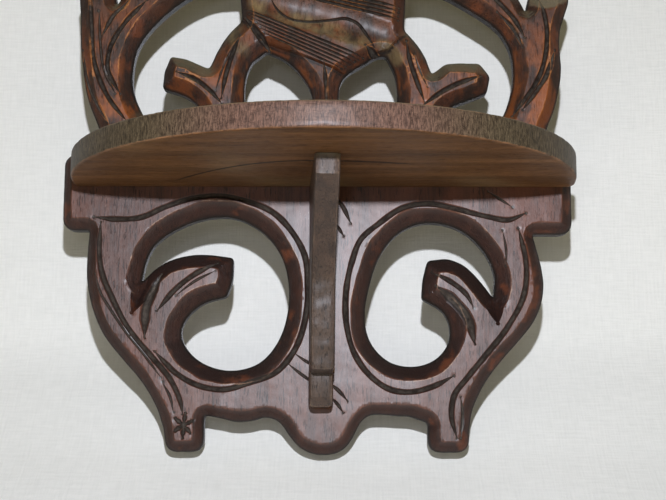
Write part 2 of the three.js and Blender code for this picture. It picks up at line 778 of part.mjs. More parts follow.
// Drawn inside its own group, with the hinge pins on the Z axis
function supportBracket() {
  const right = bracketHingeInset;
  const left = right - bracketThickness;
  const rearY = knuckleRadius - bracketEdgeGap;
  const plate = new THREE.ExtrudeGeometry(new THREE.Shape(bracketProfile()), {
    depth: bracketThickness - 2 * bracketBevel,
    steps: 1,
    bevelThickness: bracketBevel,
    bevelSize: bracketBevel,
    bevelOffset: -bracketBevel,
    bevelSegments: 1,
  });
  plate.applyMatrix4(new THREE.Matrix4().makeBasis(
    new THREE.Vector3(0, -1, 0),
    new THREE.Vector3(0, 0, 1),
    new THREE.Vector3(-1, 0, 0),
  ));
  plate.translate(right - bracketBevel, knuckleRadius, 0);
  const beyond = bracketHeight + bracketReach;
  const behind = box([-beyond, rearY, -2 * beyond], [beyond, beyond, beyond]);
  const above = box([-beyond, -beyond, bracketTop], [beyond, beyond, beyond]);
  const notches = bracketHinges.map(({ z }) => {
    const halfHeight = hingeLength / 2 + runningGap;
    return box(
      [left - overrun, -knuckleRadius - runningGap, z - halfHeight],
      [right + overrun, beyond, z + halfHeight],
    );
  });
  const screwHoles = bracketHinges.flatMap(({ moving }) => (
    leafScrewHoles(-1).map((tool) => tool.applyMatrix4(moving))
  ));
  return cut(plate, behind, above, ...notches, ...screwHoles);
}

// Assembly

const shelf = new THREE.Group();

const foldingShelf = new THREE.Group();
const bracket = new THREE.Group();
bracket.position.set(bracketAxis.x, bracketAxis.y, 0);
bracket.rotation.z = THREE.MathUtils.degToRad(bracketTurnDegrees);
shelf.add(foldingShelf, bracket);

function addPiece(parent, name, geometry, material, place = new THREE.Matrix4()) {
  const mesh = new THREE.Mesh(geometry, material);
  mesh.name = name;
  place.decompose(mesh.position, mesh.quaternion, mesh.scale);
  parent.add(mesh);
}

// One slotted screw at each place, numbered along the row
function addScrews(parent, name, places) {
  places.forEach((place, i) => {
    addPiece(parent, `${name}_${i + 1}`, slottedScrew(), materials.agedSteel, place);
  });
}

// Both leaves of a hinge, its pin and its screws
function addHinge(movingGroup, { name, movingPart, fixed, moving }) {
  const movingName = `${name}_${movingPart}`;
  const wallLeaf = hingeLeaf(1, fixedKnuckles, movingKnuckles);
  const movingLeaf = hingeLeaf(-1, movingKnuckles, fixedKnuckles);
  addPiece(shelf, `${name}_wall_leaf`, wallLeaf, materials.agedBrass, fixed);
  addPiece(movingGroup, `${movingName}_leaf`, movingLeaf, materials.agedBrass, moving);
  addPiece(shelf, `${name}_pin`, hingePin(), materials.agedSteel, fixed);
  const wallPlaces = leafScrewPlaces(1).map((place) => fixed.clone().multiply(place));
  const movingPlaces = leafScrewPlaces(-1).map((place) => moving.clone().multiply(place));
  addScrews(shelf, `${name}_wall_screw`, wallPlaces);
  addScrews(movingGroup, `${movingName}_screw`, movingPlaces);
}

addPiece(shelf, 'back_panel', backPanel(), materials.backWood);
addPiece(foldingShelf, 'shelf_board', shelfBoard(), materials.shelfWood);
addPiece(bracket, 'support_bracket', supportBracket(), materials.bracketWood);
shelfHinges.forEach((hinge) => addHinge(foldingShelf, { ...hinge, movingPart: 'shelf' }));
bracketHinges.forEach((hinge) => addHinge(bracket, { ...hinge, movingPart: 'bracket' }));
addPiece(shelf, 'hanger_plate', hangerPlate(), materials.agedBrass);
addScrews(shelf, 'hanger_screw', hangerScrewPlaces);

export default shelf;
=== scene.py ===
# %% [markdown]
# A folding wall shelf of carved wood. Its back board is pierced and carved with scrolls,
# a half-round shelf folds down from it, and a thin bracket swings out under the shelf.
# The imported model gives the sizes, the joints and the hidden hardware. This script adds
# what a carver and a polisher did: bevels, grooves, worn edges, grain, stain and varnish.
# It also paints shade into the grooves and bevels and highlights onto the edges.

# %% Load the frame
import math

import bmesh
import bpy
import numpy as np
from mathutils import Euler, Matrix, Vector, geometry, kdtree, noise


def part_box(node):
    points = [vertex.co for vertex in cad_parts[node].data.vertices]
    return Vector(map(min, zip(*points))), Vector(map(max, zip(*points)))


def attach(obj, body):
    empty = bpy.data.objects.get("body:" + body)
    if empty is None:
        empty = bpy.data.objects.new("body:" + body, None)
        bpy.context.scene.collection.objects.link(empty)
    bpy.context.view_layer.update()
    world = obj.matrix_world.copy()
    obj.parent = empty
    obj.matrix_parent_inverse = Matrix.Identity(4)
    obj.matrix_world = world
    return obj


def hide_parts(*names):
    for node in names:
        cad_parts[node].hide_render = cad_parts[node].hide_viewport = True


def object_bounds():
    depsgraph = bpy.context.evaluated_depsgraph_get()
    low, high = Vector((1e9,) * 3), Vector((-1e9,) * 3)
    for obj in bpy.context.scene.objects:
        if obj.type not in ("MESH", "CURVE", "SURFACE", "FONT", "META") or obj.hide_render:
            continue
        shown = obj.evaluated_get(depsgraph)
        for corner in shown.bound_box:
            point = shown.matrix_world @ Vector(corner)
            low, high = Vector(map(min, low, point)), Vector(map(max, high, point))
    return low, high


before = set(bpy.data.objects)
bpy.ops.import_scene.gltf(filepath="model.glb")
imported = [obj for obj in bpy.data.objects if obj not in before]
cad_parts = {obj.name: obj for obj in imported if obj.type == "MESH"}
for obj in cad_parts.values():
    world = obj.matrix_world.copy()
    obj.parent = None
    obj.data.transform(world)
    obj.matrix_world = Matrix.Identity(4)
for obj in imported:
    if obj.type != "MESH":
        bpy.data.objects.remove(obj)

cad_low, cad_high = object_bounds()
MM = 0.001
back_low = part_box("back_panel")[0]
shelf_low, shelf_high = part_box("shelf_board")
bracket_low, bracket_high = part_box("support_bracket")
face_y = back_low.y / MM
print("model box in mm", [round(v / MM, 1) for v in (*cad_low, *cad_high)])

# %% [markdown]
# The photograph was taken from just below the shelf, looking up a little, with a long
# lens. The camera's place was worked out from the straight lower line of the back and
# the curve of the shelf, so it is written as a place and three small angles.

# %% Camera at the photograph's angle
photo_width = 666
focal_pixels = 1315
sensor_width = 36
camera_place = Vector((0.0108, -0.662, -0.1413))
camera_pitch = 8.51
camera_turn = 0.24
camera_roll = 0.16

bpy.ops.object.camera_add(location=camera_place)
camera = bpy.context.object
camera.name = "photo_camera"
camera.data.sensor_width = sensor_width
camera.data.lens = focal_pixels * sensor_width / photo_width
turn = Euler((0, 0, math.radians(camera_turn))).to_matrix()
lift = Euler((math.radians(90 + camera_pitch), 0, 0)).to_matrix()
roll = Euler((0, 0, math.radians(camera_roll))).to_matrix()
camera.rotation_euler = (turn @ lift @ roll).to_euler()
camera.data.clip_start = 0.01
camera.data.clip_end = 20
bpy.context.scene.camera = camera
print("lens in mm", round(camera.data.lens, 2))

# %% [markdown]
# A material is a tree of small steps, each a node. A few helpers make the kinds of node
# that this shelf needs and link them up, so that the materials below read as recipes. The
# nodes are laid out in rows, in the order in which they are made.

# %% Helpers for materials
nodes_in_row = 12
node_spacing = (220, 300)


def node(tree, kind, **settings):
    """One shader node. Settings that name an input socket set its value."""
    row, column = divmod(len(tree.nodes), nodes_in_row)
    made = tree.nodes.new(kind)
    made.location = (node_spacing[0] * column, -node_spacing[1] * row)
    for key, value in settings.items():
        if hasattr(made, key):
            setattr(made, key, value)
        else:
            made.inputs[key.replace("_", " ")].default_value = value
    return made


def fill(tree, socket, given):
    """Gives a socket its value: another socket, a number or a colour."""
    if isinstance(given, bpy.types.NodeSocket):
        tree.links.new(given, socket)
    elif isinstance(given, (int, float)):
        socket.default_value = given
    else:
        socket.default_value = (*given, 1)


def mapped_noise(tree, vector, scale, stretch=1.0, detail=2.0, roughness=0.5):
    """Noise with so many marks a millimetre, stretched along Z by the given factor."""
    grid = (scale / MM, scale / MM, scale / MM / stretch)
    mapping = node(tree, "ShaderNodeMapping", Scale=grid)
    cloud = node(tree, "ShaderNodeTexNoise", Scale=1.0, Detail=detail, Roughness=roughness)
    tree.links.new(vector, mapping.inputs["Vector"])
    tree.links.new(mapping.outputs["Vector"], cloud.inputs["Vector"])
    return cloud.outputs["Fac"]


def between(tree, value, low, high, shape="SMOOTHSTEP"):
    """0 below low and 1 above high, as a Map Range node."""
    made = node(tree, "ShaderNodeMapRange", interpolation_type=shape)
    fill(tree, made.inputs["Value"], value)
    made.inputs["From Min"].default_value = low
    made.inputs["From Max"].default_value = high
    return made.outputs["Result"]


def mixed(tree, factor, first, second, blend="MIX"):
    """A colour mixed from two. Each may be an output socket or a plain colour."""
    made = node(tree, "ShaderNodeMix", data_type="RGBA", blend_type=blend)
    for number, given in ((0, factor), (6, first), (7, second)):
        fill(tree, made.inputs[number], given)
    return made.outputs[2]


def worked(tree, operation, *values):
    """A Math node. Each value may be an output socket or a number."""
    made = node(tree, "ShaderNodeMath", operation=operation)
    for socket, given in zip(made.inputs, values):
        fill(tree, socket, given)
    return made.outputs[0]


def attribute(tree, name):
    """Reads one of the marks written on a mesh."""
    return node(tree, "ShaderNodeAttribute", attribute_name=name).outputs["Fac"]


def new_material(name):
    """A material with nodes, its tree and its Principled shader."""
    material = bpy.data.materials.new(name)
    material.use_nodes = True
    return material, material.node_tree, material.node_tree.nodes["Principled BSDF"]


def new_group(name, inputs, outputs):
    """A shader node group with the given sockets, and its input and output nodes."""
    group = bpy.data.node_groups.new(name, "ShaderNodeTree")
    kinds = {"value": "NodeSocketFloat", "colour": "NodeSocketColor", "vector": "NodeSocketVector"}
    for socket_name, kind, start in inputs:
        socket = group.interface.new_socket(socket_name, in_out="INPUT", socket_type=kinds[kind])
        if start is not None:
            socket.default_value = start
    for socket_name, kind in outputs:
        group.interface.new_socket(socket_name, in_out="OUTPUT", socket_type=kinds[kind])
    return group, node(group, "NodeGroupInput"), node(group, "NodeGroupOutput")


print("nodes in a row", nodes_in_row)

# %% [markdown]
# A pale sheet hangs a little behind the shelf, so that the carving's shadow falls on it.
# Its cloth is two sets of fine threads, with the painted shade of some broad soft folds,
# and far in front of the shelf it turns creamy. Seen from behind, the material lets the
# camera and the light through, so that the back of the board can be seen as well.

# %% Cloth of the sheet
thread_scales = ((900, 1, 90), (90, 1, 900), (9, 1, 16))
fold_share = 0.8
cloth_shade, cloth_light = (0.80, 0.795, 0.745), (0.92, 0.91, 0.86)
cloth_cream = (0.66, 0.57, 0.36)
sheet_material, tree, shader = new_material("pale_sheet")
shader.inputs["Roughness"].default_value = 0.9
place = node(tree, "ShaderNodeTexCoord").outputs["Object"]
threads = []
for thread_scale in thread_scales:
    stretch = node(tree, "ShaderNodeMapping", Scale=thread_scale)
    thread = node(tree, "ShaderNodeTexNoise", Scale=1.0, Detail=3.0)
    tree.links.new(place, stretch.inputs["Vector"])
    tree.links.new(stretch.outputs["Vector"], thread.inputs["Vector"])
    threads.append(thread.outputs["Fac"])
crossed = worked(tree, "ADD", threads[0], threads[1])
# The broad third noise adds the painted shade of soft folds to the cloth's colour.
threads_and_fold_shade = worked(tree, "MULTIPLY_ADD", threads[2], fold_share, crossed)
cloth = mixed(tree, between(tree, threads_and_fold_shade, 0.9, 1.9, "LINEAR"), cloth_shade, cloth_light)
across = node(tree, "ShaderNodeSeparateXYZ")
tree.links.new(place, across.inputs["Vector"])
in_front = between(tree, across.outputs["Y"], -0.16, -0.28, "LINEAR")
tree.links.new(mixed(tree, in_front, cloth, cloth_cream), shader.inputs["Base Color"])
bump = node(tree, "ShaderNodeBump", Strength=0.35, Distance=0.0006)
tree.links.new(crossed, bump.inputs["Height"])
tree.links.new(bump.outputs["Normal"], shader.inputs["Normal"])
clear = node(tree, "ShaderNodeBsdfTransparent")
surface = node(tree, "ShaderNodeNewGeometry")
ray = node(tree, "ShaderNodeLightPath")
see_through = worked(tree, "MAXIMUM", surface.outputs["Backfacing"], ray.outputs["Is Shadow Ray"])
choose = node(tree, "ShaderNodeMixShader")
tree.links.new(see_through, choose.inputs["Fac"])
tree.links.new(shader.outputs["BSDF"], choose.inputs[1])
tree.links.new(clear.outputs["BSDF"], choose.inputs[2])
tree.links.new(choose.outputs["Shader"], tree.nodes["Material Output"].inputs["Surface"])
print("cloth nodes", len(tree.nodes))

# %% [markdown]
# The sheet is one long strip that falls behind the shelf, bends forward below it and runs
# out over the floor. A grid of as many rows as the bend has points is moved onto it.

# %% Sheet and floor
sheet_gap = 0.053
floor_drop = 0.075
stage_reach = 3.0
floor_colour = (0.86, 0.868, 0.872, 1)
floor_z = cad_low.z - floor_drop
sheet_bend = [
    (sheet_gap, stage_reach / 2), (sheet_gap, -0.078), (0.048, -0.094), (0.037, -0.110),
    (0.024, -0.126), (0.013, -0.140), (0.003, -0.150), (-0.010, -0.160), (-0.030, -0.176),
    (-0.058, -0.198), (-0.100, -0.213), (-stage_reach / 2, floor_z),
]
bpy.ops.object.select_all(action="DESELECT")
bpy.ops.mesh.primitive_grid_add(x_subdivisions=1, y_subdivisions=len(sheet_bend) - 1, size=1)
sheet = bpy.context.object
sheet.name = "stage_sheet"
rows = sorted({round(v.co.y, 4) for v in sheet.data.vertices}, reverse=True)
for vertex in sheet.data.vertices:
    y, z = sheet_bend[rows.index(round(vertex.co.y, 4))]
    vertex.co = Vector((math.copysign(stage_reach / 2, vertex.co.x), y, z))
sheet.data.materials.append(sheet_material)
bpy.ops.object.shade_smooth()

floor_material, tree, shader = new_material("pale_floor")
shader.inputs["Base Color"].default_value = floor_colour
shader.inputs["Roughness"].default_value = 0.9
bpy.ops.object.select_all(action="DESELECT")
bpy.ops.mesh.primitive_plane_add(size=stage_reach, location=(0, 0, floor_z))
floor = bpy.context.object
floor.name = "stage_floor"
bpy.ops.object.transform_apply(location=True, rotation=True, scale=True)
floor.data.materials.append(floor_material)
print("floor at z in mm", round(floor_z / MM, 1))

# %% [markdown]
# The photograph's main light is a small one just above the lens: it throws the carving's
# shadow straight down on the sheet, and its gleam lies on the lower face. A weak lamp just
# below the lens adds to that gleam. Two large dim lamps and a yellowish sky fill in what
# they leave dark, and one more lights the rear. A lamp's power is worked out from the
# share of the light that it should give at the object.

# %% Lamps and sky
object_middle = (cad_low + cad_high) / 2


def soft_lamp(name, place, size, share, colour):
    """A square lamp turned to the object, which lights it to that share of full white."""
    aim = object_middle - Vector(place)
    bpy.ops.object.light_add(type="AREA", location=place)
    lamp = bpy.context.object
    lamp.name = name
    lamp.data.shape = "SQUARE"
    lamp.data.color = colour
    lamp.data.size = size
    lamp.data.energy = share * (math.pi * aim.length) ** 2
    lamp.rotation_euler = aim.to_track_quat("-Z", "Y").to_euler()
    print(name, "power in W", round(lamp.data.energy, 2))
    return lamp


lens_light = (0.92, 0.96, 1.07)
room_light = (1.0, 0.87, 0.50)
sky_colour, sky_strength = (1.0, 0.84, 0.36, 1), 0.06
soft_lamp("lens_lamp", (0.014, -0.69, 0.027), 0.014, 1.12, lens_light)
soft_lamp("sheen_lamp", (-0.045, -0.70, -0.075), 0.06, 0.05, lens_light)
soft_lamp("left_lamp", (-0.9, -0.8, 0.7), 0.8, 0.02, room_light)
soft_lamp("right_lamp", (1.0, -0.7, 0.5), 0.8, 0.02, room_light)
soft_lamp("rear_lamp", (0.3, 1.7, 0.3), 0.8, 0.4, lens_light)

world = bpy.data.worlds.new("soft_sky")
world.use_nodes = True
world.node_tree.nodes["Background"].inputs["Color"].default_value = sky_colour
world.node_tree.nodes["Background"].inputs["Strength"].default_value = sky_strength
bpy.context.scene.world = world
bpy.context.scene.view_settings.view_transform = "Standard"

# %% [markdown]
# The back board's outline comes from the flat rear face of its solid, so the carved
# board fits the hinges and the wall exactly. The solid's curves are cut into short
# flats, so each run between two sharp corners is drawn again as a smooth curve.

# %% Outline of the back board
outline_step = 1.1
corner_turn = 38.0
straight_limit = 5.5
corner_wear = 3


def rear_loops(cad_object):
    """The closed edges of the flat face at Y = 0, as arrays of X and Z in millimetres."""
    shape = bmesh.new()
    shape.from_mesh(cad_object.data)
    bmesh.ops.remove_doubles(shape, verts=shape.verts, dist=1e-6)
    on_wall = {
        f for f in shape.faces if f.normal.y > 0.9 and all(abs(v.co.y) < 1e-6 for v in f.verts)
    }
    beside = {}
    for edge in shape.edges:
        if sum(f in on_wall for f in edge.link_faces) == 1:
            a, b = edge.verts
            beside.setdefault(a.index, []).append(b.index)
            beside.setdefault(b.index, []).append(a.index)
    shape.verts.ensure_lookup_table()
    loops = []
    left = set(beside)
    while left:
        path = [min(left)]
        left.discard(path[0])
        while True:
            ahead = [i for i in beside[path[-1]] if i in left]
            if not ahead:
                break
            path.append(ahead[0])
            left.discard(ahead[0])
        loops.append(np.array([[shape.verts[i].co.x, shape.verts[i].co.z] for i in path]) / MM)
    shape.free()
    return loops


def signed_area(points):
    x, z = points[:, 0], points[:, 1]
    return 0.5 * float(np.sum(x * np.roll(z, -1) - np.roll(x, -1) * z))


def bends(points):
    """The turn at each point of a closed loop, in degrees, positive to the left."""
    ahead = np.roll(points, -1, 0) - points
    behind = points - np.roll(points, 1, 0)
    cross = behind[:, 0] * ahead[:, 1] - behind[:, 1] * ahead[:, 0]
    return np.degrees(np.arctan2(cross, (behind * ahead).sum(1)))


def curve_through(points, step, flat_limit=straight_limit):
    """An open curve through the points. Flats longer than the limit stay flat."""
    dense = [points[0]]
    for a, b in zip(points, points[1:]):
        parts = max(1, math.ceil(np.linalg.norm(b - a) / flat_limit))
        dense += [a + (b - a) * k / parts for k in range(1, parts + 1)]
    p = np.array(dense)
    if len(p) < 3:
        parts = max(1, round(np.linalg.norm(p[-1] - p[0]) / step))
        return np.linspace(p[0], p[-1], parts + 1)
    p = np.vstack([2 * p[0] - p[1], p, 2 * p[-1] - p[-2]])
    drawn = []
    for p0, p1, p2, p3 in zip(p, p[1:], p[2:], p[3:]):
        k1, k2, k3 = (max(np.linalg.norm(d), 1e-6) for d in (p1 - p0, p2 - p1, p3 - p2))
        m1 = k2 * ((p1 - p0) / k1 - (p2 - p0) / (k1 + k2) + (p2 - p1) / k2)
        m2 = k2 * ((p2 - p1) / k2 - (p3 - p1) / (k2 + k3) + (p3 - p2) / k3)
        t = np.linspace(0, 1, max(2, math.ceil(k2 / step) + 1))[:-1, None]
        drawn.append(
            (2 * t**3 - 3 * t**2 + 1) * p1 + (t**3 - 2 * t**2 + t) * m1
            + (3 * t**2 - 2 * t**3) * p2 + (t**3 - t**2) * m2
        )
    return np.vstack([*drawn, p[-2:-1]])


def smooth_loop(points):
    """A closed loop drawn again with smooth runs between its sharp corners."""
    low, high = points.min(0), points.max(0)
    points = points[np.linalg.norm(points - np.roll(points, 1, 0), axis=1) > 0.35]
    corners = np.flatnonzero(np.abs(bends(points)) > corner_turn)
    if len(corners) == 0:
        corners = np.array([0])
    points = np.roll(points, -corners[0], 0)
    ends = [*(corners - corners[0]), len(points)]
    closed = np.vstack([points, points[:1]])
    runs = [curve_through(closed[a:b + 1], outline_step)[:-1] for a, b in zip(ends, ends[1:])]
    drawn = np.vstack(runs)
    for _ in range(corner_wear):
        drawn = drawn / 2 + (np.roll(drawn, 1, 0) + np.roll(drawn, -1, 0)) / 4
    return np.clip(drawn, low, high)


def is_hanger(loop):
    """True for the recess of the hanger plate, which is no opening."""
    return loop[:, 1].min() > 100 and np.ptp(loop[:, 1]) < 40


cad_loops = sorted(rear_loops(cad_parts["back_panel"]), key=lambda p: -abs(signed_area(p)))
hanger_loop = next(loop for loop in cad_loops if is_hanger(loop))
board_loops = []
for number, loop in enumerate(loop for loop in cad_loops if not is_hanger(loop)):
    wood_is_left = (signed_area(loop) > 0) == (number == 0)
    board_loops.append(smooth_loop(loop if wood_is_left else loop[::-1]))
print("points on each edge of the board", [len(loop) for loop in board_loops])

# %% [markdown]
# Every edge of the pierced board is cut back with a gouge: wide round the lower rings and
# narrower outside. A bevel is written as a depth that depends on how far a point is from
# the edge, so it follows any curve. Its style changes at the height of the shelf. The
# carver's hand shows in its width, which wanders a little, and in the flat facets that
# the gouge left along it.

# %% Bevels of the back board
lower_outer_bevel = (5.6, 5.0)
lower_inner_bevel = (7.6, 6.4)
upper_outer_bevel = (5.8, 5.0)
upper_inner_bevel = (6.6, 6.2)
lower_straightness = 0.74
upper_straightness = 0.66
outer_rounding = 0.3
bevel_rows = (0.33, 0.66, 1.0)
chisel_length = 7.5
chisel_depth = 0.3
style_change = (-4, 18)


def step_up(low, high, value):
    """0 below low, 1 above high, and smooth between."""
    t = np.clip((value - low) / (high - low), 0, 1)
    return t * t * (3 - 2 * t)


def wander(values, seed):
    """Smooth chance from -1 to 1 along a line, for each value."""
    return np.array([noise.noise(Vector((v, seed, 0.5))) for v in values])


def wander_over(points, size, seed):
    """Smooth chance from -1 to 1 over the face, with marks of about the given size."""
    return np.array([noise.noise(Vector((x / size, z / size, seed))) for x, z in points])


def left_normals(points):
    along = np.roll(points, -1, 0) - np.roll(points, 1, 0)
    along /= np.linalg.norm(along, axis=1)[:, None]
    return np.column_stack([-along[:, 1], along[:, 0]])


edge = {"point": [], "next": [], "last": [], "normal": [], "width": [], "depth": [], "along": []}
for number, loop in enumerate(board_loops):
    lower, upper = (
        (lower_outer_bevel, upper_outer_bevel) if number == 0
        else (lower_inner_bevel, upper_inner_bevel)
    )
    above = step_up(*style_change, loop[:, 1])
    steps = np.linalg.norm(np.roll(loop, -1, 0) - loop, axis=1)
    along = np.concatenate([[0], np.cumsum(steps)[:-1]])
    hand = 1 + 0.14 * wander(along / 17, 3.1 + number) + 0.07 * wander(along / 5, 9.4 + number)
    edge["point"].append(loop)
    edge["next"].append(np.roll(loop, -1, 0))
    edge["last"].append(np.roll(loop, 1, 0))
    edge["normal"].append(left_normals(loop))
    edge["width"].append((lower[0] + (upper[0] - lower[0]) * above) * hand)
    edge["depth"].append((lower[1] + (upper[1] - lower[1]) * above) * (0.5 + 0.5 * hand))
    edge["along"].append(along + 1000 * number)
edge = {key: np.concatenate(value) for key, value in edge.items()}
edge_count = len(edge["point"])


def tree_of(points):
    made = kdtree.KDTree(len(points))
    for i, (x, z) in enumerate(points):
        made.insert((x, z, 0), i)
    made.balance()
    return made


def part_distance(points, a, b):
    """How far each point is from its own line from a to b."""
    line = b - a
    t = np.clip(((points - a) * line).sum(1) / np.maximum((line * line).sum(1), 1e-9), 0, 1)
    return np.linalg.norm(points - a - t[:, None] * line, axis=1)


edge_tree = tree_of(edge["point"])


def near_edge(points):
    """For each point, its distance to the board's edge and the nearest edge point's number."""
    nearest = np.array([edge_tree.find((x, z, 0))[1] for x, z in points])
    place = edge["point"][nearest]
    to_next = part_distance(points, place, edge["next"][nearest])
    to_last = part_distance(points, place, edge["last"][nearest])
    return np.minimum(to_next, to_last), nearest


def bevel_depth(points):
    """The bevel's depth at each point, how far down it that is, and the edge's distance."""
    distance, nearest = near_edge(points)
    down = np.clip(1 - distance / edge["width"][nearest], 0, 1)
    above = step_up(*style_change, points[:, 1])
    straight = lower_straightness + (upper_straightness - lower_straightness) * above
    outside = nearest < len(board_loops[0])
    straight = np.where(outside, straight - outer_rounding * (1 - above), straight)
    depth = edge["depth"][nearest] * (straight * down + (1 - straight) * down ** 2)
    cut = np.abs((edge["along"][nearest] / chisel_length) % 1.0 - 0.5) * 2
    return depth + chisel_depth * cut ** 2 * step_up(0.05, 0.5, down), down, distance


print("edge points", edge_count, "widest bevel in mm", round(float(edge["width"].max()), 2))

# %% [markdown]
# The scrolls are drawn on the board's face with a veining tool: long V-shaped cuts that
# start and end in a point. Each is a line of points on the face, in millimetres from the
# middle of the shelf's top, with half its width and its depth. The heavy ones are in the
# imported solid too. The light ones beside them are where the carver went over a line twice
# or marked a leaf.

# %% Carved lines below the shelf
heavy, stub_cut, leaf_cut = (1.6, 2.0), (1.5, 1.9), (2.9, 2.8)
ring_lines = [
    [
        (-112, -27.5), (-101, -28.5), (-88, -27.5), (-77, -22.5), (-60, -17.2), (-48, -16.5),
        (-34, -19.5), (-22, -25), (-12, -35.5), (-6, -47), (-4.5, -60), (-5.5, -78),
        (-12, -96), (-20, -105), (-33, -110), (-45, -113.5), (-57, -112), (-68, -106.5),
        (-80, -95),
    ],
    [
        (105, -25), (96, -28.5), (86, -27), (68, -22.5), (56, -20.3), (43, -22.5),
        (31, -30.5), (22, -38.5), (17.5, -50), (14.5, -67), (15, -82), (19, -96),
        (27, -107), (37, -113.5), (47, -114.5), (57, -112), (68, -106.5),
    ],
]
stem_lines = [
    [
        (-108.5, -30), (-109, -44), (-107.5, -55), (-101.5, -69), (-93, -84), (-82, -97),
        (-72.5, -108), (-67, -119), (-65.5, -126),
    ],
    [
        (101, -33), (104.5, -50), (103.5, -65), (95, -82), (84, -96), (74, -108), (68, -116),
        (66.5, -126), (69, -137),
    ],
]
stub_lines = [
    [(-49.5, -50.5), (-60, -55.8), (-70, -63.5), (-79.5, -75)],
    [(57.5, -55), (67.8, -60.5), (74.7, -66.5), (78, -73)],
]
leaf_lines = [
    [(-77.5, -56), (-81, -63), (-84.5, -72), (-85.3, -88)],
    [(59.5, -62), (68, -69), (74.6, -77), (78.4, -91)],
]
light_lines = [
    (0.8, 0.8, [(-110.5, -56), (-108, -65), (-102.5, -74), (-94, -86), (-84, -98), (-76.5, -108)]),
    (0.9, 0.9, [(-76, -110), (-72, -117), (-70, -125)]),
    (1.1, 1.1, [(71, -117), (72, -126), (71, -137)]),
    (0.9, 0.9, [(-11, -95.5), (-6, -99), (4, -104)]),
    (0.9, 0.9, [(-15, -100), (-8, -105.5), (3, -113)]),
    (1.0, 1.1, [(6, -110), (10.5, -113.5), (15.5, -119)]),
    (0.9, 1.0, [(7, -117), (10, -120), (13.5, -125)]),
    (0.8, 0.9, [(-50.5, -54.5), (-61, -60), (-70, -67)]),
    (1.2, 1.3, [(9, -16), (13, -22), (17, -30.5)]),
    (0.9, 0.9, [(9, -30), (11, -33), (13.5, -37)]),
    (0.9, 0.9, [(86, -14), (92, -18), (98, -22)]),
    (0.7, 0.8, [(93, -34), (94.5, -43), (94.5, -52)]),
]
carved_lines = [(*heavy, line) for line in ring_lines + stem_lines]
carved_lines += [(*stub_cut, line) for line in stub_lines]
carved_lines += [(*leaf_cut, line) for line in leaf_lines]
carved_lines += light_lines

# The knot on the left foot: short cuts round a middle, as left by a gouge turned in place
knot_middle = np.array((-65.0, -131.0))
knot_cut = (1.5, 1.7)
for degrees in (20, 80, 150, 205, 265, 320):
    out = np.array((0.75 * math.cos(math.radians(degrees)), math.sin(math.radians(degrees))))
    carved_lines.append((*knot_cut, [knot_middle + out * r for r in (0.8, 3.5, 6.2)]))

# Where a ring's end meets its stub, the gouge ran on past the corner and left a point
corner_cut = (4.6, 6.0)
corner_lines = [
    [(-81.5, -48), (-86, -61), (-88.4, -67), (-91.8, -76)],
    [(86, -55), (87.6, -68), (88.8, -73), (90, -81)],
]
print("carved lines below the shelf", len(carved_lines))

# %% [markdown]
# Above the shelf the board is carved as branches that grow together and part again, each
# with a groove or two along it.

# %% Carved lines above the shelf
branch_cut = (1.45, 2.0)
branch_lines = [
    [(-117.5, 90), (-116.5, 76), (-113.5, 50), (-107, 35), (-97, 22)],
    [(-88, 86), (-99, 74), (-106.5, 60), (-107.5, 50), (-100.5, 36)],
    [(-97, 91), (-86, 101), (-67, 111.5), (-48, 117)],
    [(-72.5, 48), (-62, 43.8), (-55, 38.2), (-48.5, 31)],
    [(-40, 68), (-44, 57), (-47, 46), (-49, 34)],
    [(45.5, 65), (47, 55), (50, 45), (54.5, 32)],
    [(83.5, 46.2), (72, 42.2), (63, 37.5), (53, 30)],
    [(93, 92), (82, 101.5), (64, 111.5), (45, 117)],
    [(86, 92), (94, 84), (101.5, 75), (106, 66)],
    [(114.5, 88), (117.5, 68), (114, 48), (99, 25)],
]
light_branch_lines = [
    (1.6, 1.7, [(-97, 87), (-105, 78), (-111, 66)]),
    (0.9, 0.9, [(-112.5, 80), (-111.5, 64), (-109.5, 50), (-103, 36)]),
    (1.0, 1.0, [(-121, 60), (-117.5, 42), (-112, 30), (-107, 22)]),
    (1.0, 1.1, [(-84, 92), (-75, 99), (-62, 105), (-48, 108)]),
    (1.5, 1.5, [(121.5, 60), (117, 47), (110, 36), (104, 28)]),
    (1.2, 1.2, [(92, 80), (100, 71.5), (105, 61)]),
    (1.0, 1.1, [(80, 92), (72, 99), (60, 104.5), (47, 107)]),
    (0.8, 0.8, [(-43.5, 62), (-48.5, 50), (-52, 38)]),
    (0.9, 0.9, [(49.5, 58), (52, 49), (56, 40)]),
    (1.2, 1.3, [(3, 55), (4.2, 42), (4.5, 28)]),
]
carved_lines += [(*branch_cut, line) for line in branch_lines]
carved_lines += light_branch_lines
print("carved lines so far", len(carved_lines))

# %% [markdown]
# The middle of the back is a tilted scroll of ribs with a smooth hollow above it and a
# wavy line in the hollow. Higher up, past the photograph's upper edge, the crest gets a
# plain shell of flutes, a common ornament of such carving.

# %% Scroll in the middle and shell on the crest
rib_cut, rib_count = (0.66, 1.2), 6
first_rib = ((-37.5, 81.7), (23.4, 56.0))
last_rib = ((-27.8, 68.6), (12.1, 50.2))
upper_rib_cut, upper_rib_count = (0.95, 1.6), 4
first_upper_rib = ((-12, 95), (41.8, 82.5))
last_upper_rib = ((-16, 90.5), (41.4, 76.1))
wave_cut, scroll_end_cut, torn_cut = (0.85, 1.3), (2.0, 2.8), (2.4, 3.2)
wave_line = [
    (-24.5, 88), (-21.9, 82.9), (-15.9, 77.4), (-6, 75.3), (5.7, 76.1), (14.7, 76.8),
    (19.6, 74.8), (25.5, 67.6), (30.5, 58.5),
]
hollow_line = [(-37, 90), (-18.4, 82.1), (8.8, 75.3), (30.7, 67.8), (43, 63)]
hollow_cut = (8.5, 2.5)
scroll_end_line = [(-38, 78.5), (-34, 73), (-27.8, 64.6), (-23.7, 59)]
torn_spot = [(24.5, 62.5), (29.5, 58), (33, 56.5)]
shell_middle, shell_eye, shell_radius = (2, 108), 12, 40
eye_cut, shell_flutes = (1.9, 2.0), 9


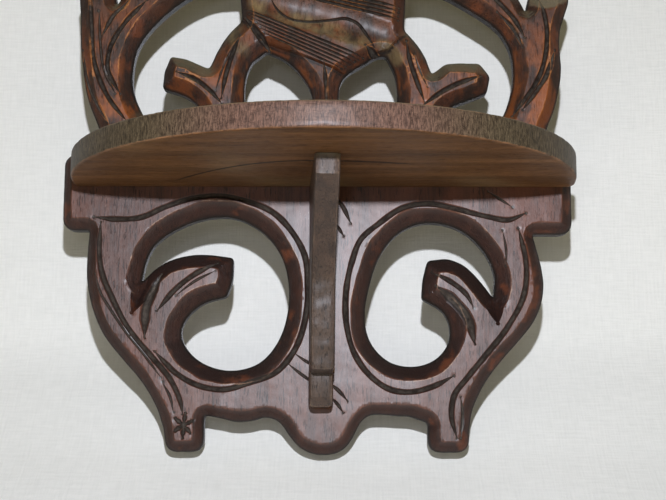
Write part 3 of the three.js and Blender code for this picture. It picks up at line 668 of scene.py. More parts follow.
def round_shell(radius, degrees):
    angle = math.radians(degrees)
    return (
        shell_middle[0] + radius * math.cos(angle), shell_middle[1] + radius * math.sin(angle)
    )


def lines_between(first, last, count):
    """Straight lines shared out evenly from the first to the last, with a middle point."""
    made = []
    for share in np.linspace(0, 1, count):
        a, b = (1 - share) * np.array(first, float) + share * np.array(last, float)
        made.append([tuple(a), tuple((a + b) / 2), tuple(b)])
    return made


ribs = lines_between(first_rib, last_rib, rib_count)
upper_ribs = lines_between(first_upper_rib, last_upper_rib, upper_rib_count)
carved_lines += [(*rib_cut, line) for line in ribs]
carved_lines += [(*upper_rib_cut, line) for line in upper_ribs]
carved_lines += [
    (*wave_cut, wave_line), (*scroll_end_cut, scroll_end_line), (*torn_cut, torn_spot),
]
for degrees in np.linspace(10, 170, shell_flutes):
    flute = [round_shell(r, degrees) for r in (shell_eye + 3, 27, shell_radius)]
    carved_lines.append((*heavy, flute))
carved_lines.append((*eye_cut, [round_shell(shell_eye, a) for a in range(-20, 201, 20)]))
print("all carved lines", len(carved_lines))

# %% [markdown]
# Each groove is kept as a curve with its own width and depth at every point. They taper
# to nothing at both ends, where the tool entered and left the wood, and vary by a tenth
# or two along the way, because the cut was pushed by hand.

# %% Grooves as cuts in the face
groove_step = 1.15
taper_length = 9.0
lip_width = 0.55


def cut_along(points, half_width, depth, seed):
    """A groove's middle line with its sideways direction, half width and depth."""
    middle = curve_through(np.array(points, float), groove_step, flat_limit=1000)
    along = np.concatenate([[0], np.cumsum(np.linalg.norm(np.diff(middle, axis=0), axis=1))])
    from_end = np.minimum(along, along[-1] - along)
    taper = np.clip(from_end / min(taper_length, along[-1] / 2.5), 0.004, 1) ** 0.75
    hand = 1 + 0.16 * wander(along / 9, 20.3 + seed) + 0.06 * wander(along / 2.5, 70.3 + seed)
    ahead = np.gradient(middle, axis=0)
    ahead /= np.linalg.norm(ahead, axis=1)[:, None]
    return {
        "middle": middle,
        "sideways": np.column_stack([-ahead[:, 1], ahead[:, 0]]),
        "half": half_width * taper * hand,
        "depth": depth * taper * hand,
    }


def share_of_cut(points, cut):
    """Which points the cut reaches, how near its middle they are, and its depth there."""
    line = cut["middle"]
    reach = cut["half"].max() + 0.6
    low, high = line.min(0) - reach, line.max(0) + reach
    near = np.flatnonzero(((points > low) & (points < high)).all(1))
    if len(near) == 0:
        return near, np.zeros(0), np.zeros(0), np.zeros(0)
    apart = points[near][:, None, :] - line[None, :, :]
    index = np.clip((apart ** 2).sum(2).argmin(1), 1, len(line) - 2)
    sideways = np.minimum(
        part_distance(points[near], line[index], line[index + 1]),
        part_distance(points[near], line[index], line[index - 1]),
    )
    lip = np.clip(1 - np.abs(sideways - cut["half"][index]) / lip_width, 0, 1)
    return near, np.clip(1 - sideways / cut["half"][index], 0, 1), cut["depth"][index], lip


cuts = [
    cut_along(points, half_width, depth, seed)
    for seed, (half_width, depth, points) in enumerate(carved_lines)
]
hollow = cut_along(hollow_line, *hollow_cut, 0.4)
corner_cuts = [cut_along(line, *corner_cut, 40 + k) for k, line in enumerate(corner_lines)]


def groove_depth(points):
    """Depth of the deepest groove at each point, nearness to its bottom and to its lip."""
    deepest, bottom, lips = (np.zeros(len(points)) for _ in range(3))
    for cut in cuts:
        near, share, depth, lip = share_of_cut(points, cut)
        depth = depth * share ** 1.1
        deeper = depth > deepest[near]
        deepest[near[deeper]] = depth[deeper]
        bottom[near[deeper]] = share[deeper]
        lips[near] = np.maximum(lips[near], lip * (cut["half"].max() > 0.95))
    return deepest, bottom, lips


total_length = sum(len(cut["half"]) for cut in cuts) * groove_step
print("cuts", len(cuts), "total length in mm", round(total_length))

# %% [markdown]
# Round the scroll the ground is cut lower, so that the scroll stands proud of the branches
# below it. The ends of the two prongs are sawn off and scooped, and slope back.

# %% Lower ground and prong ends
scroll_border = [
    (-46, 83), (-38.5, 79), (-36.8, 76.8), (-31, 69.5), (-27.3, 65), (-5.8, 56.9), (13.2, 49.0),
    (17, 50), (22, 53.5), (26.5, 58.5), (30.5, 60.5), (36, 61.5), (44, 69.5), (50, 76),
]
ground_depth = 2.3
ground_wall = 1.0
prongs = [((98, 140), 117.0, 81.5, 9.5), ((-140, -100), -115.0, 86.0, 9.5)]
border = np.array(scroll_border, float)


def below_border(points):
    """How far each point lies below the scroll's border, 0 above it."""
    height = np.interp(points[:, 0], border[:, 0], border[:, 1])
    distance = np.full(len(points), 1e9)
    for a, b in zip(border, border[1:]):
        distance = np.minimum(distance, part_distance(points, a[None, :], b[None, :]))
    x = points[:, 0]
    inside = (points[:, 1] < height) & (x > border[0, 0]) & (x < border[-1, 0])
    return np.where(inside, distance, 0.0)


def lowered(points):
    """Depth of the lowered ground round the scroll, and of the scooped prong ends."""
    under = below_border(points)
    sides = np.clip((50 - np.abs(points[:, 0])) / 12, 0, 1)
    ground = ground_depth * step_up(0, ground_wall, under) * (1 - 0.75 * step_up(4, 34, under))
    deep = ground * sides
    ends = np.zeros(len(points))
    for (x0, x1), middle, start, slope in prongs:
        curve = start + 0.035 * (points[:, 0] - middle) ** 2
        past = np.clip(points[:, 1] - curve, 0, None)
        at_prong = (points[:, 0] > x0) & (points[:, 0] < x1)
        ends = np.maximum(ends, np.where(at_prong, np.minimum(past * 0.85, slope), 0))
    return deep, ends


print("ground below the scroll in mm", ground_depth)

# %% [markdown]
# Two shallow pockets hold the shelf's hinge leaves, and a round trough beside each lets
# the knuckles turn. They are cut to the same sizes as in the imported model, so the leaves
# lie flush and the shelf can fold.

# %% Hinge pockets in the face
pocket_half = 12.7
pocket_top = 11.2
pocket_depth = 1.0
pocket_wall = 0.03
trough_half = 12.8
trough_radius = 2.3
trough_axis = (-13.0, 1.0)
trough_reach = math.sqrt(trough_radius ** 2 - (face_y - trough_axis[0]) ** 2)
hinge_middles = [
    (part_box(f"shelf_hinge_{hand}_pin")[0].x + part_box(f"shelf_hinge_{hand}_pin")[1].x) / 2 / MM
    for hand in ("left", "right")
]


def pocket_floor(points):
    """How far the pockets and troughs lie below the face at each point."""
    deep = np.zeros(len(points))
    x, z = points[:, 0], points[:, 1]
    for middle in hinge_middles:
        aside = np.abs(x - middle)
        leaf_room = np.minimum(pocket_half - aside, np.minimum(z - trough_axis[1], pocket_top - z))
        leaf = pocket_depth * np.clip(leaf_room / pocket_wall + 1, 0, 1)
        round_depth = np.sqrt(np.clip(trough_radius ** 2 - (z - trough_axis[1]) ** 2, 0, None))
        trough = np.clip(trough_axis[0] + round_depth - face_y, 0, None)
        trough = trough * np.clip((trough_half - aside) / pocket_wall + 1, 0, 1)
        deep = np.maximum(deep, np.maximum(leaf, trough))
    return deep


def pocket_rows():
    """The straight rows of points round each pocket and along each trough."""
    rows = []
    low, high = trough_axis[1] - trough_reach, trough_axis[1] + trough_reach
    for middle in hinge_middles:
        for grow in (0, pocket_wall):
            x0, x1 = middle - pocket_half - grow, middle + pocket_half + grow
            z1 = pocket_top + grow
            rows.append([(x0, trough_axis[1]), (x0, z1), (x1, z1), (x1, trough_axis[1])])
            for x in (middle - trough_half - grow, middle + trough_half + grow):
                rows.append([(x, low), (x, high)])
        ends = middle - trough_half - pocket_wall, middle + trough_half + pocket_wall
        for share in (-1, -0.7, -0.35, 0, 0.35, 0.7, 1):
            z = trough_axis[1] + share * trough_reach
            rows.append([(ends[0], z), (ends[1], z)])
    return [curve_through(np.array(row, float), 1.6, flat_limit=1.6) for row in rows]


print("hinge middles in mm", [round(x, 2) for x in hinge_middles])

# %% [markdown]
# The front face is one net of small triangles. Rows of points follow the edges, the foot
# of each bevel and both sides of each groove, so the carving's arrises stay crisp, and
# the rest of the face is filled with points about a millimetre apart. A triangulation
# that keeps all these rows joins them, and what falls in an opening is left out.

# %% Points of the front face
fill_step = 1.2
row_clearance = 0.45
knit = {"point": [], "join": []}


def add_row(points, keep, closed=False):
    """Puts the kept points of a row into the net and joins the neighbours among them."""
    first = sum(len(p) for p in knit["point"])
    number = np.full(len(points), -1)
    number[keep] = first + np.arange(int(keep.sum()))
    knit["point"].append(points[keep])
    last = len(points) if closed else len(points) - 1
    for i in range(last):
        j = (i + 1) % len(points)
        if number[i] >= 0 and number[j] >= 0:
            knit["join"].append((number[i], number[j]))


def inside_wood(points):
    """How far inside the wood each point is, negative in an opening or outside."""
    distance, nearest = near_edge(points)
    inwards = ((points - edge["point"][nearest]) * edge["normal"][nearest]).sum(1)
    return np.where(inwards > 0, distance, -distance)


loop_numbers = []
for loop in board_loops:
    first = sum(len(p) for p in knit["point"])
    loop_numbers.append(list(range(first, first + len(loop))))
    knit["point"].append(loop)

start = 0
for loop in board_loops:
    part = slice(start, start + len(loop))
    start += len(loop)
    for share in bevel_rows:
        reach = edge["width"][part] * share
        row = loop + edge["normal"][part] * reach[:, None]
        distance, _ = near_edge(row)
        add_row(row, distance > reach - 0.12, closed=True)

for cut in cuts + corner_cuts:
    for side in (-1, 0, 1):
        row = cut["middle"] + side * cut["sideways"] * cut["half"][:, None]
        add_row(row, inside_wood(row) > 0.5)

border_row = curve_through(border, 1.1, flat_limit=1.1)
for drop in (0, 0.5 * ground_wall, ground_wall):
    row = border_row - np.array((0.35 * drop, 0.9 * drop))
    add_row(row, inside_wood(row) > 0.5)
for row in pocket_rows():
    add_row(row, np.full(len(row), True))

rows_tree = tree_of(np.concatenate(knit["point"]))
chance = np.random.default_rng(7)
outer_low, outer_high = board_loops[0].min(0), board_loops[0].max(0)
columns = np.arange(outer_low[0], outer_high[0], fill_step)
lines = np.arange(outer_low[1], outer_high[1], fill_step * 0.87)
grid = np.array([(x + (k % 2) * fill_step / 2, z) for k, z in enumerate(lines) for x in columns])
grid += chance.uniform(-0.16, 0.16, grid.shape)
clear = np.array([rows_tree.find((x, z, 0))[2] for x, z in grid])
filling = grid[(inside_wood(grid) > 0) & (clear > row_clearance)]
knit["point"].append(filling)
face_points = np.concatenate(knit["point"])
print("points in rows", len(face_points) - len(filling), "points between them", len(filling))

# %% [markdown]
# Each point of the front is pushed in by whatever was cut there: bevel, groove, hollow,
# lowered ground or pocket. A shallow wander is added, since no hand-cut face is flat. The
# marks say where each point lies, for the materials to read.

# %% Depth of the carved front
undulation, ripple = 0.2, 0.07
deepest_cut = 10.4
rubbed_lines = [
    (6.5, [(-34, 86), (-16, 78), (6, 71), (22, 64)]),
    (6.0, [(-44, 76), (-42.5, 68), (-39, 61)]),
    (4.5, [(33, 63), (38, 59.5), (41, 55)]),
]


def rubbed_patch(points):
    """Where the stain has been rubbed off the scroll and its shoulders, from 0 to 1."""
    patch = np.zeros(len(points))
    for reach, line in rubbed_lines:
        line = np.array(line, float)
        for a, b in zip(line, line[1:]):
            away = part_distance(points, a[None, :], b[None, :])
            patch = np.maximum(patch, 1 - step_up(0.25 * reach, reach, away))
    return patch


def hollow_depth(points):
    """Depth of the smooth hollow above the scroll, which ends at the scroll's border."""
    near, share, depth, _ = share_of_cut(points, hollow)
    valley = np.zeros(len(points))
    above = 1 - step_up(0, 0.5, below_border(points[near]))
    valley[near] = depth * (1 - (1 - share) ** 2) * above
    return valley


def corner_depth(points):
    """Depth of the corner cuts, and how near to their middle each point is."""
    corner, corner_share = np.zeros(len(points)), np.zeros(len(points))
    for cut in corner_cuts:
        near, share, depth, _ = share_of_cut(points, cut)
        corner[near] = np.maximum(corner[near], depth * share)
        corner_share[near] = np.maximum(corner_share[near], share)
    return corner, corner_share


def reach_of(points):
    """Width of the nearest edge's bevel at each point."""
    return edge["width"][near_edge(points)[1]]


def crispness(points):
    """How sharp the bevel's arris is: the board's outer edge below the shelf is rounded."""
    on_outside = near_edge(points)[1] < len(board_loops[0])
    return np.where(on_outside, 0.15 + 0.85 * step_up(-10, 12, points[:, 1]), 1.0)


def front_depth(points):
    """Depth of the front at each point, with the marks that the materials need."""
    bevel, down, distance = bevel_depth(points)
    groove, bottom, lips = groove_depth(points)
    pocket = pocket_floor(points)
    ground, ends = lowered(points)
    corner, corner_share = corner_depth(points)
    bevel = np.maximum(bevel, corner)
    hand = undulation * (0.5 + 0.5 * wander_over(points, 11.0, 1.7))
    hand += ripple * (0.5 + 0.5 * wander_over(points, 3.2, 6.2))
    rest = np.maximum(bevel, 0.75 * bevel + ground + hollow_depth(points))
    carved = np.maximum(rest + groove * (1 - 0.3 * down) + hand, ends + 0.5 * groove)
    carved = np.minimum(carved, deepest_cut)
    carved = np.where((pocket > 0) & (pocket + 0.02 > carved), pocket, carved)
    on_arris = np.clip(1 - np.abs(distance - reach_of(points)) / lip_width, 0, 1)
    # The foot of the low wall under the scroll is marked as a groove, so the finish paints it
    # dark: painted shade under the scroll's edge.
    foot = 0.4 * (1 - np.abs(np.clip(below_border(points) / 1.6, 0, 2) - 1))
    marks = {
        "bevel": np.maximum(down, 0.7 * step_up(0, 0.25, corner_share)),
        "groove": np.where(pocket > 0, 0, np.maximum(bottom, foot)),
        # The arris mark, and the lips of the larger grooves, are where the finish paints the edges
        # bright: partly wear and partly a painted highlight.
        "arris": np.maximum(
            on_arris * crispness(points),
            lips * (0.25 + 0.6 * step_up(*style_change, points[:, 1])),
        ),
        "rubbed": rubbed_patch(points),
        "cut_end": step_up(0.2, 1.0, ends),
    }
    return np.clip(carved, 0, None), marks


print("rubbed lines", len(rubbed_lines))

# %% [markdown]
# The points are joined into triangles, and each gets its depth and its marks.

# %% Net of the carved front
ring_edges = [
    (a, b) for numbers in loop_numbers for a, b in zip(numbers, numbers[1:] + numbers[:1])
]
knitted = geometry.delaunay_2d_cdt(
    [Vector((x, z)) for x, z in face_points],
    ring_edges + [(int(a), int(b)) for a, b in knit["join"]],
    loop_numbers,
    1,
    1e-4,
    True,
)
front_points = np.array([(v.x, v.y) for v in knitted[0]])
# An opening's edge runs clockwise, so the wood is what counts as inside every edge
front_faces = [
    tuple(f) for f, inside in zip(knitted[2], knitted[5]) if len(inside) == len(board_loops)
]
from_input = {old: new for new, olds in enumerate(knitted[3]) for old in olds}
front_loops = [[from_input[i] for i in numbers] for numbers in loop_numbers]
depth, marks = front_depth(front_points)
print("triangles on the carved front", len(front_faces))
print("deepest cut in mm", round(float(depth.max()), 2))

# %% [markdown]
# The rear is flat but for the recess of the hanger plate and the keyhole room below it,
# each with nearly upright walls: its edge is doubled, and the inner one lies deeper.

# %% Rear of the board
recess_depth = 1.5
keyhole_depth = 6.5
keyhole_points = 28
wall_gap = 0.04
hanger_low, hanger_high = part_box("hanger_plate")
plate_middle = (hanger_low.z + hanger_high.z) / 2 / MM


def keyhole_outline(entry_radius, slot_radius, travel):
    """A keyhole's outline: a round entry below and a narrower round end above."""
    outline = []
    for k in range(keyhole_points):
        angle = 2 * math.pi * k / keyhole_points
        aside, rise = math.cos(angle), math.sin(angle)
        if rise > 0.35:
            outline.append((slot_radius * aside, plate_middle + travel / 2 + slot_radius * rise))
        else:
            outline.append((entry_radius * aside, plate_middle - travel / 2 + entry_radius * rise))
    return np.array(outline)


def drawn_in(points, gap):
    """A closed loop moved towards its middle by about the gap."""
    middle = points.mean(0)
    away = points - middle
    return middle + away * (1 - gap / np.linalg.norm(away, axis=1))[:, None]


room = keyhole_outline(entry_radius=6.0, slot_radius=3.75, travel=5.0)
recess = hanger_loop if signed_area(hanger_loop) > 0 else hanger_loop[::-1]
rear_rings = [(loop, 0.0) for loop in board_loops]
rear_rings += [(recess, 0.0), (drawn_in(recess, wall_gap), recess_depth)]
rear_rings += [(room, recess_depth), (drawn_in(room, wall_gap), keyhole_depth)]
starts = np.cumsum([0] + [len(ring) for ring, _ in rear_rings])
rear_numbers = [list(range(a, b)) for a, b in zip(starts, starts[1:])]
rear_edges = [(a, b) for n in rear_numbers for a, b in zip(n, n[1:] + n[:1])]
rear_knitted = geometry.delaunay_2d_cdt(
    [Vector((x, z)) for ring, _ in rear_rings for x, z in ring],
    rear_edges,
    rear_numbers[:len(board_loops)],
    1,
    1e-4,
    True,
)
level_of = np.concatenate([np.full(len(ring), level) for ring, level in rear_rings])
rear_from = {old: new for new, olds in enumerate(rear_knitted[3]) for old in olds}
rear_level = np.zeros(len(rear_knitted[0]))
for old, new in rear_from.items():
    rear_level[new] = level_of[old]
rear_faces = [
    tuple(f) for f, inside in zip(rear_knitted[2], rear_knitted[5])
    if len(inside) == len(board_loops)
]
print("triangles on the rear", len(rear_faces))

# %% [markdown]
# Straight walls join the front to the rear along every edge. Each point also carries
# marks for the finish: bevel, groove, arris, cut end, and how much it faces upwards,
# because dust and old wax lie where they can.

# %% The board as one closed mesh
wall_rows = 3
corners = [(x, face_y + d, z) for (x, z), d in zip(front_points, depth)]
front_count = len(corners)
corners += [(v.x, -level, v.y) for v, level in zip(rear_knitted[0], rear_level)]
faces = list(front_faces)
faces += [tuple(front_count + i for i in reversed(f)) for f in rear_faces]
for loop_number, loop in enumerate(front_loops):
    rear_loop = [front_count + rear_from[i] for i in rear_numbers[loop_number]]
    rows = [loop]
    for row in range(1, wall_rows):
        share = row / wall_rows
        first = len(corners)
        for a, b in zip(loop, rear_loop):
            ax, ay, az = corners[a]
            corners.append((ax, ay * (1 - share) + corners[b][1] * share, az))
        rows.append(list(range(first, first + len(loop))))
    rows.append(rear_loop)
    for fore, aft in zip(rows, rows[1:]):
        for k in range(len(loop)):
            n = (k + 1) % len(loop)
            faces.append((fore[k], aft[k], aft[n], fore[n]))


def set_mark(mesh, name, values):
    """Writes one number for each point of a mesh, for its material to read."""
    mark = mesh.attributes.get(name) or mesh.attributes.new(name, "FLOAT", "POINT")
    mark.data.foreach_set("value", np.asarray(values, dtype=np.float32))


def mark_upward(mesh):
    """Marks how much each point faces upwards at rest."""
    normals = np.empty(len(mesh.vertices) * 3)
    mesh.vertex_normals.foreach_get("vector", normals)
    set_mark(mesh, "upward", np.clip(normals.reshape(-1, 3)[:, 2], 0, 1))


board_mesh = bpy.data.meshes.new("carved_back")
board_mesh.from_pydata([Vector(c) * MM for c in corners], [], faces)
carved_back = bpy.data.objects.new("carved_back", board_mesh)
bpy.context.collection.objects.link(carved_back)
walls = len(corners) - front_count
for name, values in marks.items():
    set_mark(board_mesh, name, np.concatenate([values, np.full(walls, float(name == "bevel"))]))
mark_upward(board_mesh)

bpy.ops.object.select_all(action="DESELECT")
carved_back.select_set(True)
bpy.context.view_layer.objects.active = carved_back
bpy.ops.object.shade_smooth_by_angle(angle=math.radians(24))
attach(carved_back, "back")
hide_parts("back_panel")
print("carved back triangles", sum(len(p.vertices) - 2 for p in board_mesh.polygons))
print("carved back size in mm", [round(v / MM, 2) for v in carved_back.dimensions])

# %% [markdown]
# Wood is figured along its fibres. One node group draws that figure for every wooden
# piece: broad light and dark bands, fine fibres, and short dark pores, all stretched
# along one axis. Its outputs are a colour and a height for the relief.

# %% Wood figure as a node group
wood_figure, figure_in, figure_out = new_group(
    "wood_figure",
    [
        ("Vector", "vector", None), ("Light", "colour", (0.2, 0.1, 0.05, 1)),
        ("Dark", "colour", (0.1, 0.05, 0.03, 1)), ("Pore", "colour", (0.03, 0.015, 0.01, 1)),
        ("Pore Amount", "value", 0.75),
    ],
    [("Color", "colour"), ("Height", "value")],
)
spot = figure_in.outputs["Vector"]
bands = mapped_noise(wood_figure, spot, 0.13, 8.0, 3.0, 0.6)
fibres = mapped_noise(wood_figure, spot, 1.3, 16.0, 4.0, 0.7)
pore_cloud = mapped_noise(wood_figure, spot, 1.55, 8.0, 1.0, 0.4)
pore_mask = between(wood_figure, pore_cloud, 0.62, 0.72)
band_mask = between(wood_figure, bands, 0.34, 0.66)
fibre_mask = between(wood_figure, fibres, 0.28, 0.72)
half_bands = worked(wood_figure, "MULTIPLY", band_mask, 0.5)
tone = worked(wood_figure, "MULTIPLY_ADD", fibre_mask, 0.5, half_bands)
base = mixed(wood_figure, tone, figure_in.outputs["Dark"], figure_in.outputs["Light"])
pore_share = worked(wood_figure, "MULTIPLY", pore_mask, figure_in.outputs["Pore Amount"])
coloured = mixed(wood_figure, pore_share, base, figure_in.outputs["Pore"])
relief = worked(wood_figure, "MULTIPLY", fibre_mask, 0.35)
height = worked(wood_figure, "SUBTRACT", relief, pore_mask)
wood_figure.links.new(coloured, figure_out.inputs["Color"])
wood_figure.links.new(height, figure_out.inputs["Height"])
print("wood figure nodes", len(wood_figure.nodes))

# %% [markdown]
# Age and painted light are a second group, shared by all the wood. Bevels are painted
# darker, partly stain pooled in them and partly painted shade, with a black rim of painted
# shade where they meet the wall and patches where the stain ran thin and the wood glows
# through. Grooves have black sides of painted shade and a grey-brown bottom of old wax,
# arrises are rubbed bright, partly real wear and partly a painted highlight, and dust
# dulls what faces up. The masks are broken up with noise, so that no mark runs on evenly.

# %% Age and painted light as a node group
age_and_painted_light, aged_in, aged_out = new_group(
    "age_and_painted_light",
    [
        ("Vector", "vector", None), ("Wood", "colour", (0.1, 0.05, 0.03, 1)),
        ("Wear And Highlight", "colour", (0.36, 0.18, 0.08, 1)), ("Wax", "colour", (0.085, 0.07, 0.05, 1)),
        ("Dust", "colour", (0.2, 0.165, 0.105, 1)), ("Stain And Shade", "colour", (0.014, 0.005, 0.003, 1)),
        ("Glow", "colour", (0.16, 0.045, 0.014, 1)), ("Arris", "value", 0.0),
        ("Groove", "value", 0.0), ("Bevel", "value", 0.0), ("Upward", "value", 0.0),
        ("Bevel Shade", "value", 0.5), ("Roughness", "value", 0.4),
    ],
    [("Color", "colour"), ("Roughness", "value"), ("Height", "value")],
)
spot = aged_in.outputs["Vector"]
coarse = mapped_noise(age_and_painted_light, spot, 0.07, 1.0, 3.0, 0.55)
middling = mapped_noise(age_and_painted_light, spot, 0.45, 1.0, 3.0, 0.6)
fine = mapped_noise(age_and_painted_light, spot, 2.2, 1.0, 2.0, 0.6)
broken = worked(age_and_painted_light, "ADD", middling, worked(age_and_painted_light, "MULTIPLY", fine, 0.5))

# Bevels are darkened towards the stain colour, partly stain pooled in the cut and partly painted
# shade.
on_bevel = between(age_and_painted_light, aged_in.outputs["Bevel"], 0.02, 0.16)
pooled_stain_and_shade = worked(age_and_painted_light, "MULTIPLY_ADD", coarse, 0.9, 0.6)
shade = worked(age_and_painted_light, "MULTIPLY", on_bevel, aged_in.outputs["Bevel Shade"])
shade = worked(age_and_painted_light, "MULTIPLY", shade, pooled_stain_and_shade)
shade = worked(age_and_painted_light, "MINIMUM", shade, 0.96)
stained_and_shaded = mixed(age_and_painted_light, shade, aged_in.outputs["Wood"], aged_in.outputs["Stain And Shade"])
thin_stain = worked(age_and_painted_light, "MULTIPLY", between(age_and_painted_light, coarse, 0.56, 0.72), on_bevel)
thin_stain = worked(age_and_painted_light, "MULTIPLY", thin_stain, 0.6)
glowing = mixed(age_and_painted_light, thin_stain, stained_and_shaded, aged_in.outputs["Glow"])
# A black line of painted shade along the foot of each bevel, where it meets the wall.
rim = between(age_and_painted_light, aged_in.outputs["Bevel"], 0.78, 0.95)
rim = worked(age_and_painted_light, "MULTIPLY", rim, 0.88)
rim_shaded = mixed(age_and_painted_light, rim, glowing, (0.008, 0.005, 0.003))

# Each groove's sides are painted near black: painted shade in the V of the cut. Its bottom gets
# old wax.
flank_start = worked(age_and_painted_light, "MULTIPLY_ADD", broken, 0.20, aged_in.outputs["Groove"])
flank = between(age_and_painted_light, flank_start, 0.26, 0.50)
flank = worked(age_and_painted_light, "MULTIPLY", flank, 0.93)
shaded_groove_sides = mixed(age_and_painted_light, flank, rim_shaded, (0.012, 0.007, 0.004))
wax = between(age_and_painted_light, flank_start, 0.58, 0.84)
wax = worked(age_and_painted_light, "MULTIPLY", wax, between(age_and_painted_light, middling, 0.25, 0.7))
waxed = mixed(age_and_painted_light, wax, shaded_groove_sides, aged_in.outputs["Wax"])

# Arrises are lightened towards the worn colour, partly real wear and partly a painted highlight.
rubbed = worked(age_and_painted_light, "MULTIPLY", aged_in.outputs["Arris"], broken)
rubbed = between(age_and_painted_light, rubbed, 0.38, 0.80)
rubbed = worked(age_and_painted_light, "MULTIPLY", rubbed, between(age_and_painted_light, coarse, 0.40, 0.66))
worn_and_lit = mixed(age_and_painted_light, rubbed, waxed, aged_in.outputs["Wear And Highlight"])

patchy = worked(age_and_painted_light, "ADD", coarse, 0.55)
settled = worked(age_and_painted_light, "MULTIPLY", aged_in.outputs["Upward"], patchy)
settled = between(age_and_painted_light, settled, 0.18, 0.85)
settled = worked(age_and_painted_light, "MULTIPLY", settled, 0.8)
dusty = mixed(age_and_painted_light, settled, worn_and_lit, aged_in.outputs["Dust"])

dull_flank = worked(age_and_painted_light, "MULTIPLY", flank, 0.25)
dulling = worked(age_and_painted_light, "MULTIPLY_ADD", settled, 0.3, dull_flank)
spread = worked(age_and_painted_light, "MULTIPLY_ADD", middling, 0.18, aged_in.outputs["Roughness"])
roughness = worked(age_and_painted_light, "ADD", dulling, worked(age_and_painted_light, "SUBTRACT", spread, 0.09))
fine_lumps = worked(age_and_painted_light, "MULTIPLY", fine, 0.3)
lumps = worked(age_and_painted_light, "MULTIPLY_ADD", middling, 0.8, fine_lumps)
age_and_painted_light.links.new(dusty, aged_out.inputs["Color"])
age_and_painted_light.links.new(roughness, aged_out.inputs["Roughness"])
age_and_painted_light.links.new(lumps, aged_out.inputs["Height"])
print("age nodes", len(age_and_painted_light.nodes))

# %% [markdown]
# A wooden material joins the two groups. The mapping turns the figure so that the grain
# runs as it does in that piece. A thin clear coat stands for the varnish, whose gleam is
# sharper than the wood's own. Two height maps make the pores and the brush marks.

# %% Wooden materials
varnish_roughness = 0.36
wood_gloss = 0.35


def wood_material(name, grain_turn, tones, roughness, bevel_shade=0.5, coat=0.25):
    """Varnished wood in the given colours, with the grain turned from the Z axis."""
    material, tree, shader = new_material(name)
    where = node(tree, "ShaderNodeTexCoord").outputs["Object"]
    turned = node(tree, "ShaderNodeMapping", Rotation=grain_turn)
    tree.links.new(where, turned.inputs["Vector"])
    figure = node(tree, "ShaderNodeGroup", node_tree=wood_figure, name="figure")
    tree.links.new(turned.outputs["Vector"], figure.inputs["Vector"])
    aged = node(tree, "ShaderNodeGroup", node_tree=age_and_painted_light, name="aged")
    tree.links.new(where, aged.inputs["Vector"])
    for socket_name in ("Light", "Dark", "Pore"):
        figure.inputs[socket_name].default_value = (*tones[socket_name], 1)
    for socket_name in ("Wear And Highlight", "Wax", "Dust", "Stain And Shade", "Glow"):
        aged.inputs[socket_name].default_value = (*tones[socket_name], 1)
    for mark in ("Arris", "Groove", "Bevel", "Upward"):
        tree.links.new(attribute(tree, mark.lower()), aged.inputs[mark])
    aged.inputs["Bevel Shade"].default_value = bevel_shade
    aged.inputs["Roughness"].default_value = roughness
    tree.links.new(figure.outputs["Color"], aged.inputs["Wood"])
    tree.links.new(aged.outputs["Color"], shader.inputs["Base Color"])
    tree.links.new(aged.outputs["Roughness"], shader.inputs["Roughness"])
    grain_bump = node(tree, "ShaderNodeBump", Strength=0.95, Distance=0.00030)
    hand_bump = node(tree, "ShaderNodeBump", Strength=0.6, Distance=0.00045)
    tree.links.new(figure.outputs["Height"], grain_bump.inputs["Height"])
    tree.links.new(aged.outputs["Height"], hand_bump.inputs["Height"])
    tree.links.new(grain_bump.outputs["Normal"], hand_bump.inputs["Normal"])
    tree.links.new(hand_bump.outputs["Normal"], shader.inputs["Normal"])
    shader.inputs["Coat Weight"].default_value = coat
    shader.inputs["Coat Roughness"].default_value = varnish_roughness
    shader.inputs["Specular IOR Level"].default_value = wood_gloss
    return material


lower_tones = {
    "Light": (0.135, 0.047, 0.026), "Dark": (0.040, 0.014, 0.008), "Pore": (0.014, 0.007, 0.005),
    "Wear And Highlight": (0.34, 0.21, 0.14), "Wax": (0.080, 0.064, 0.050), "Dust": (0.135, 0.115, 0.062),
    "Stain And Shade": (0.016, 0.006, 0.004), "Glow": (0.17, 0.045, 0.014),
}
back_wood = wood_material("carved_back_wood", (0, 0, 0), lower_tones, 0.46, 0.7, 0.48)
print("nodes of a wooden material", len(back_wood.node_tree.nodes))

# %% [markdown]
# The back's colour changes with height. Below the shelf it blushes faintly. Above it the
# varnish is redder and smoky in places, it has patches of painted orange glow just over
# the shelf, and the scroll and its shoulders are rubbed down to tan wood.

# %% Redder branches and rubbed scroll
tree = back_wood.node_tree
aged = tree.nodes["aged"]
figure = tree.nodes["figure"]
where = node(tree, "ShaderNodeTexCoord").outputs["Object"]
height_up = node(tree, "ShaderNodeSeparateXYZ")
tree.links.new(where, height_up.inputs["Vector"])
above_shelf = between(tree, height_up.outputs["Z"], -0.004, 0.010)
red_light = mixed(tree, 1.0, figure.outputs["Color"], (1.15, 1.0, 0.62), "MULTIPLY")
blush_cloud = mapped_noise(tree, where, 0.06, 3.5, 3.0, 0.6)
blush = worked(tree, "MULTIPLY", between(tree, blush_cloud, 0.50, 0.66), 0.6)
blushing = mixed(tree, blush, figure.outputs["Color"], (0.15, 0.043, 0.018))
reddened = mixed(tree, above_shelf, blushing, red_light)
smoke_cloud = mapped_noise(tree, where, 0.11, 2.5, 4.0, 0.65)
smoke = worked(tree, "MULTIPLY", between(tree, smoke_cloud, 0.38, 0.58), above_shelf)
smoke = worked(tree, "MULTIPLY", smoke, 0.85)
smoked = mixed(tree, smoke, reddened, (0.024, 0.014, 0.008))
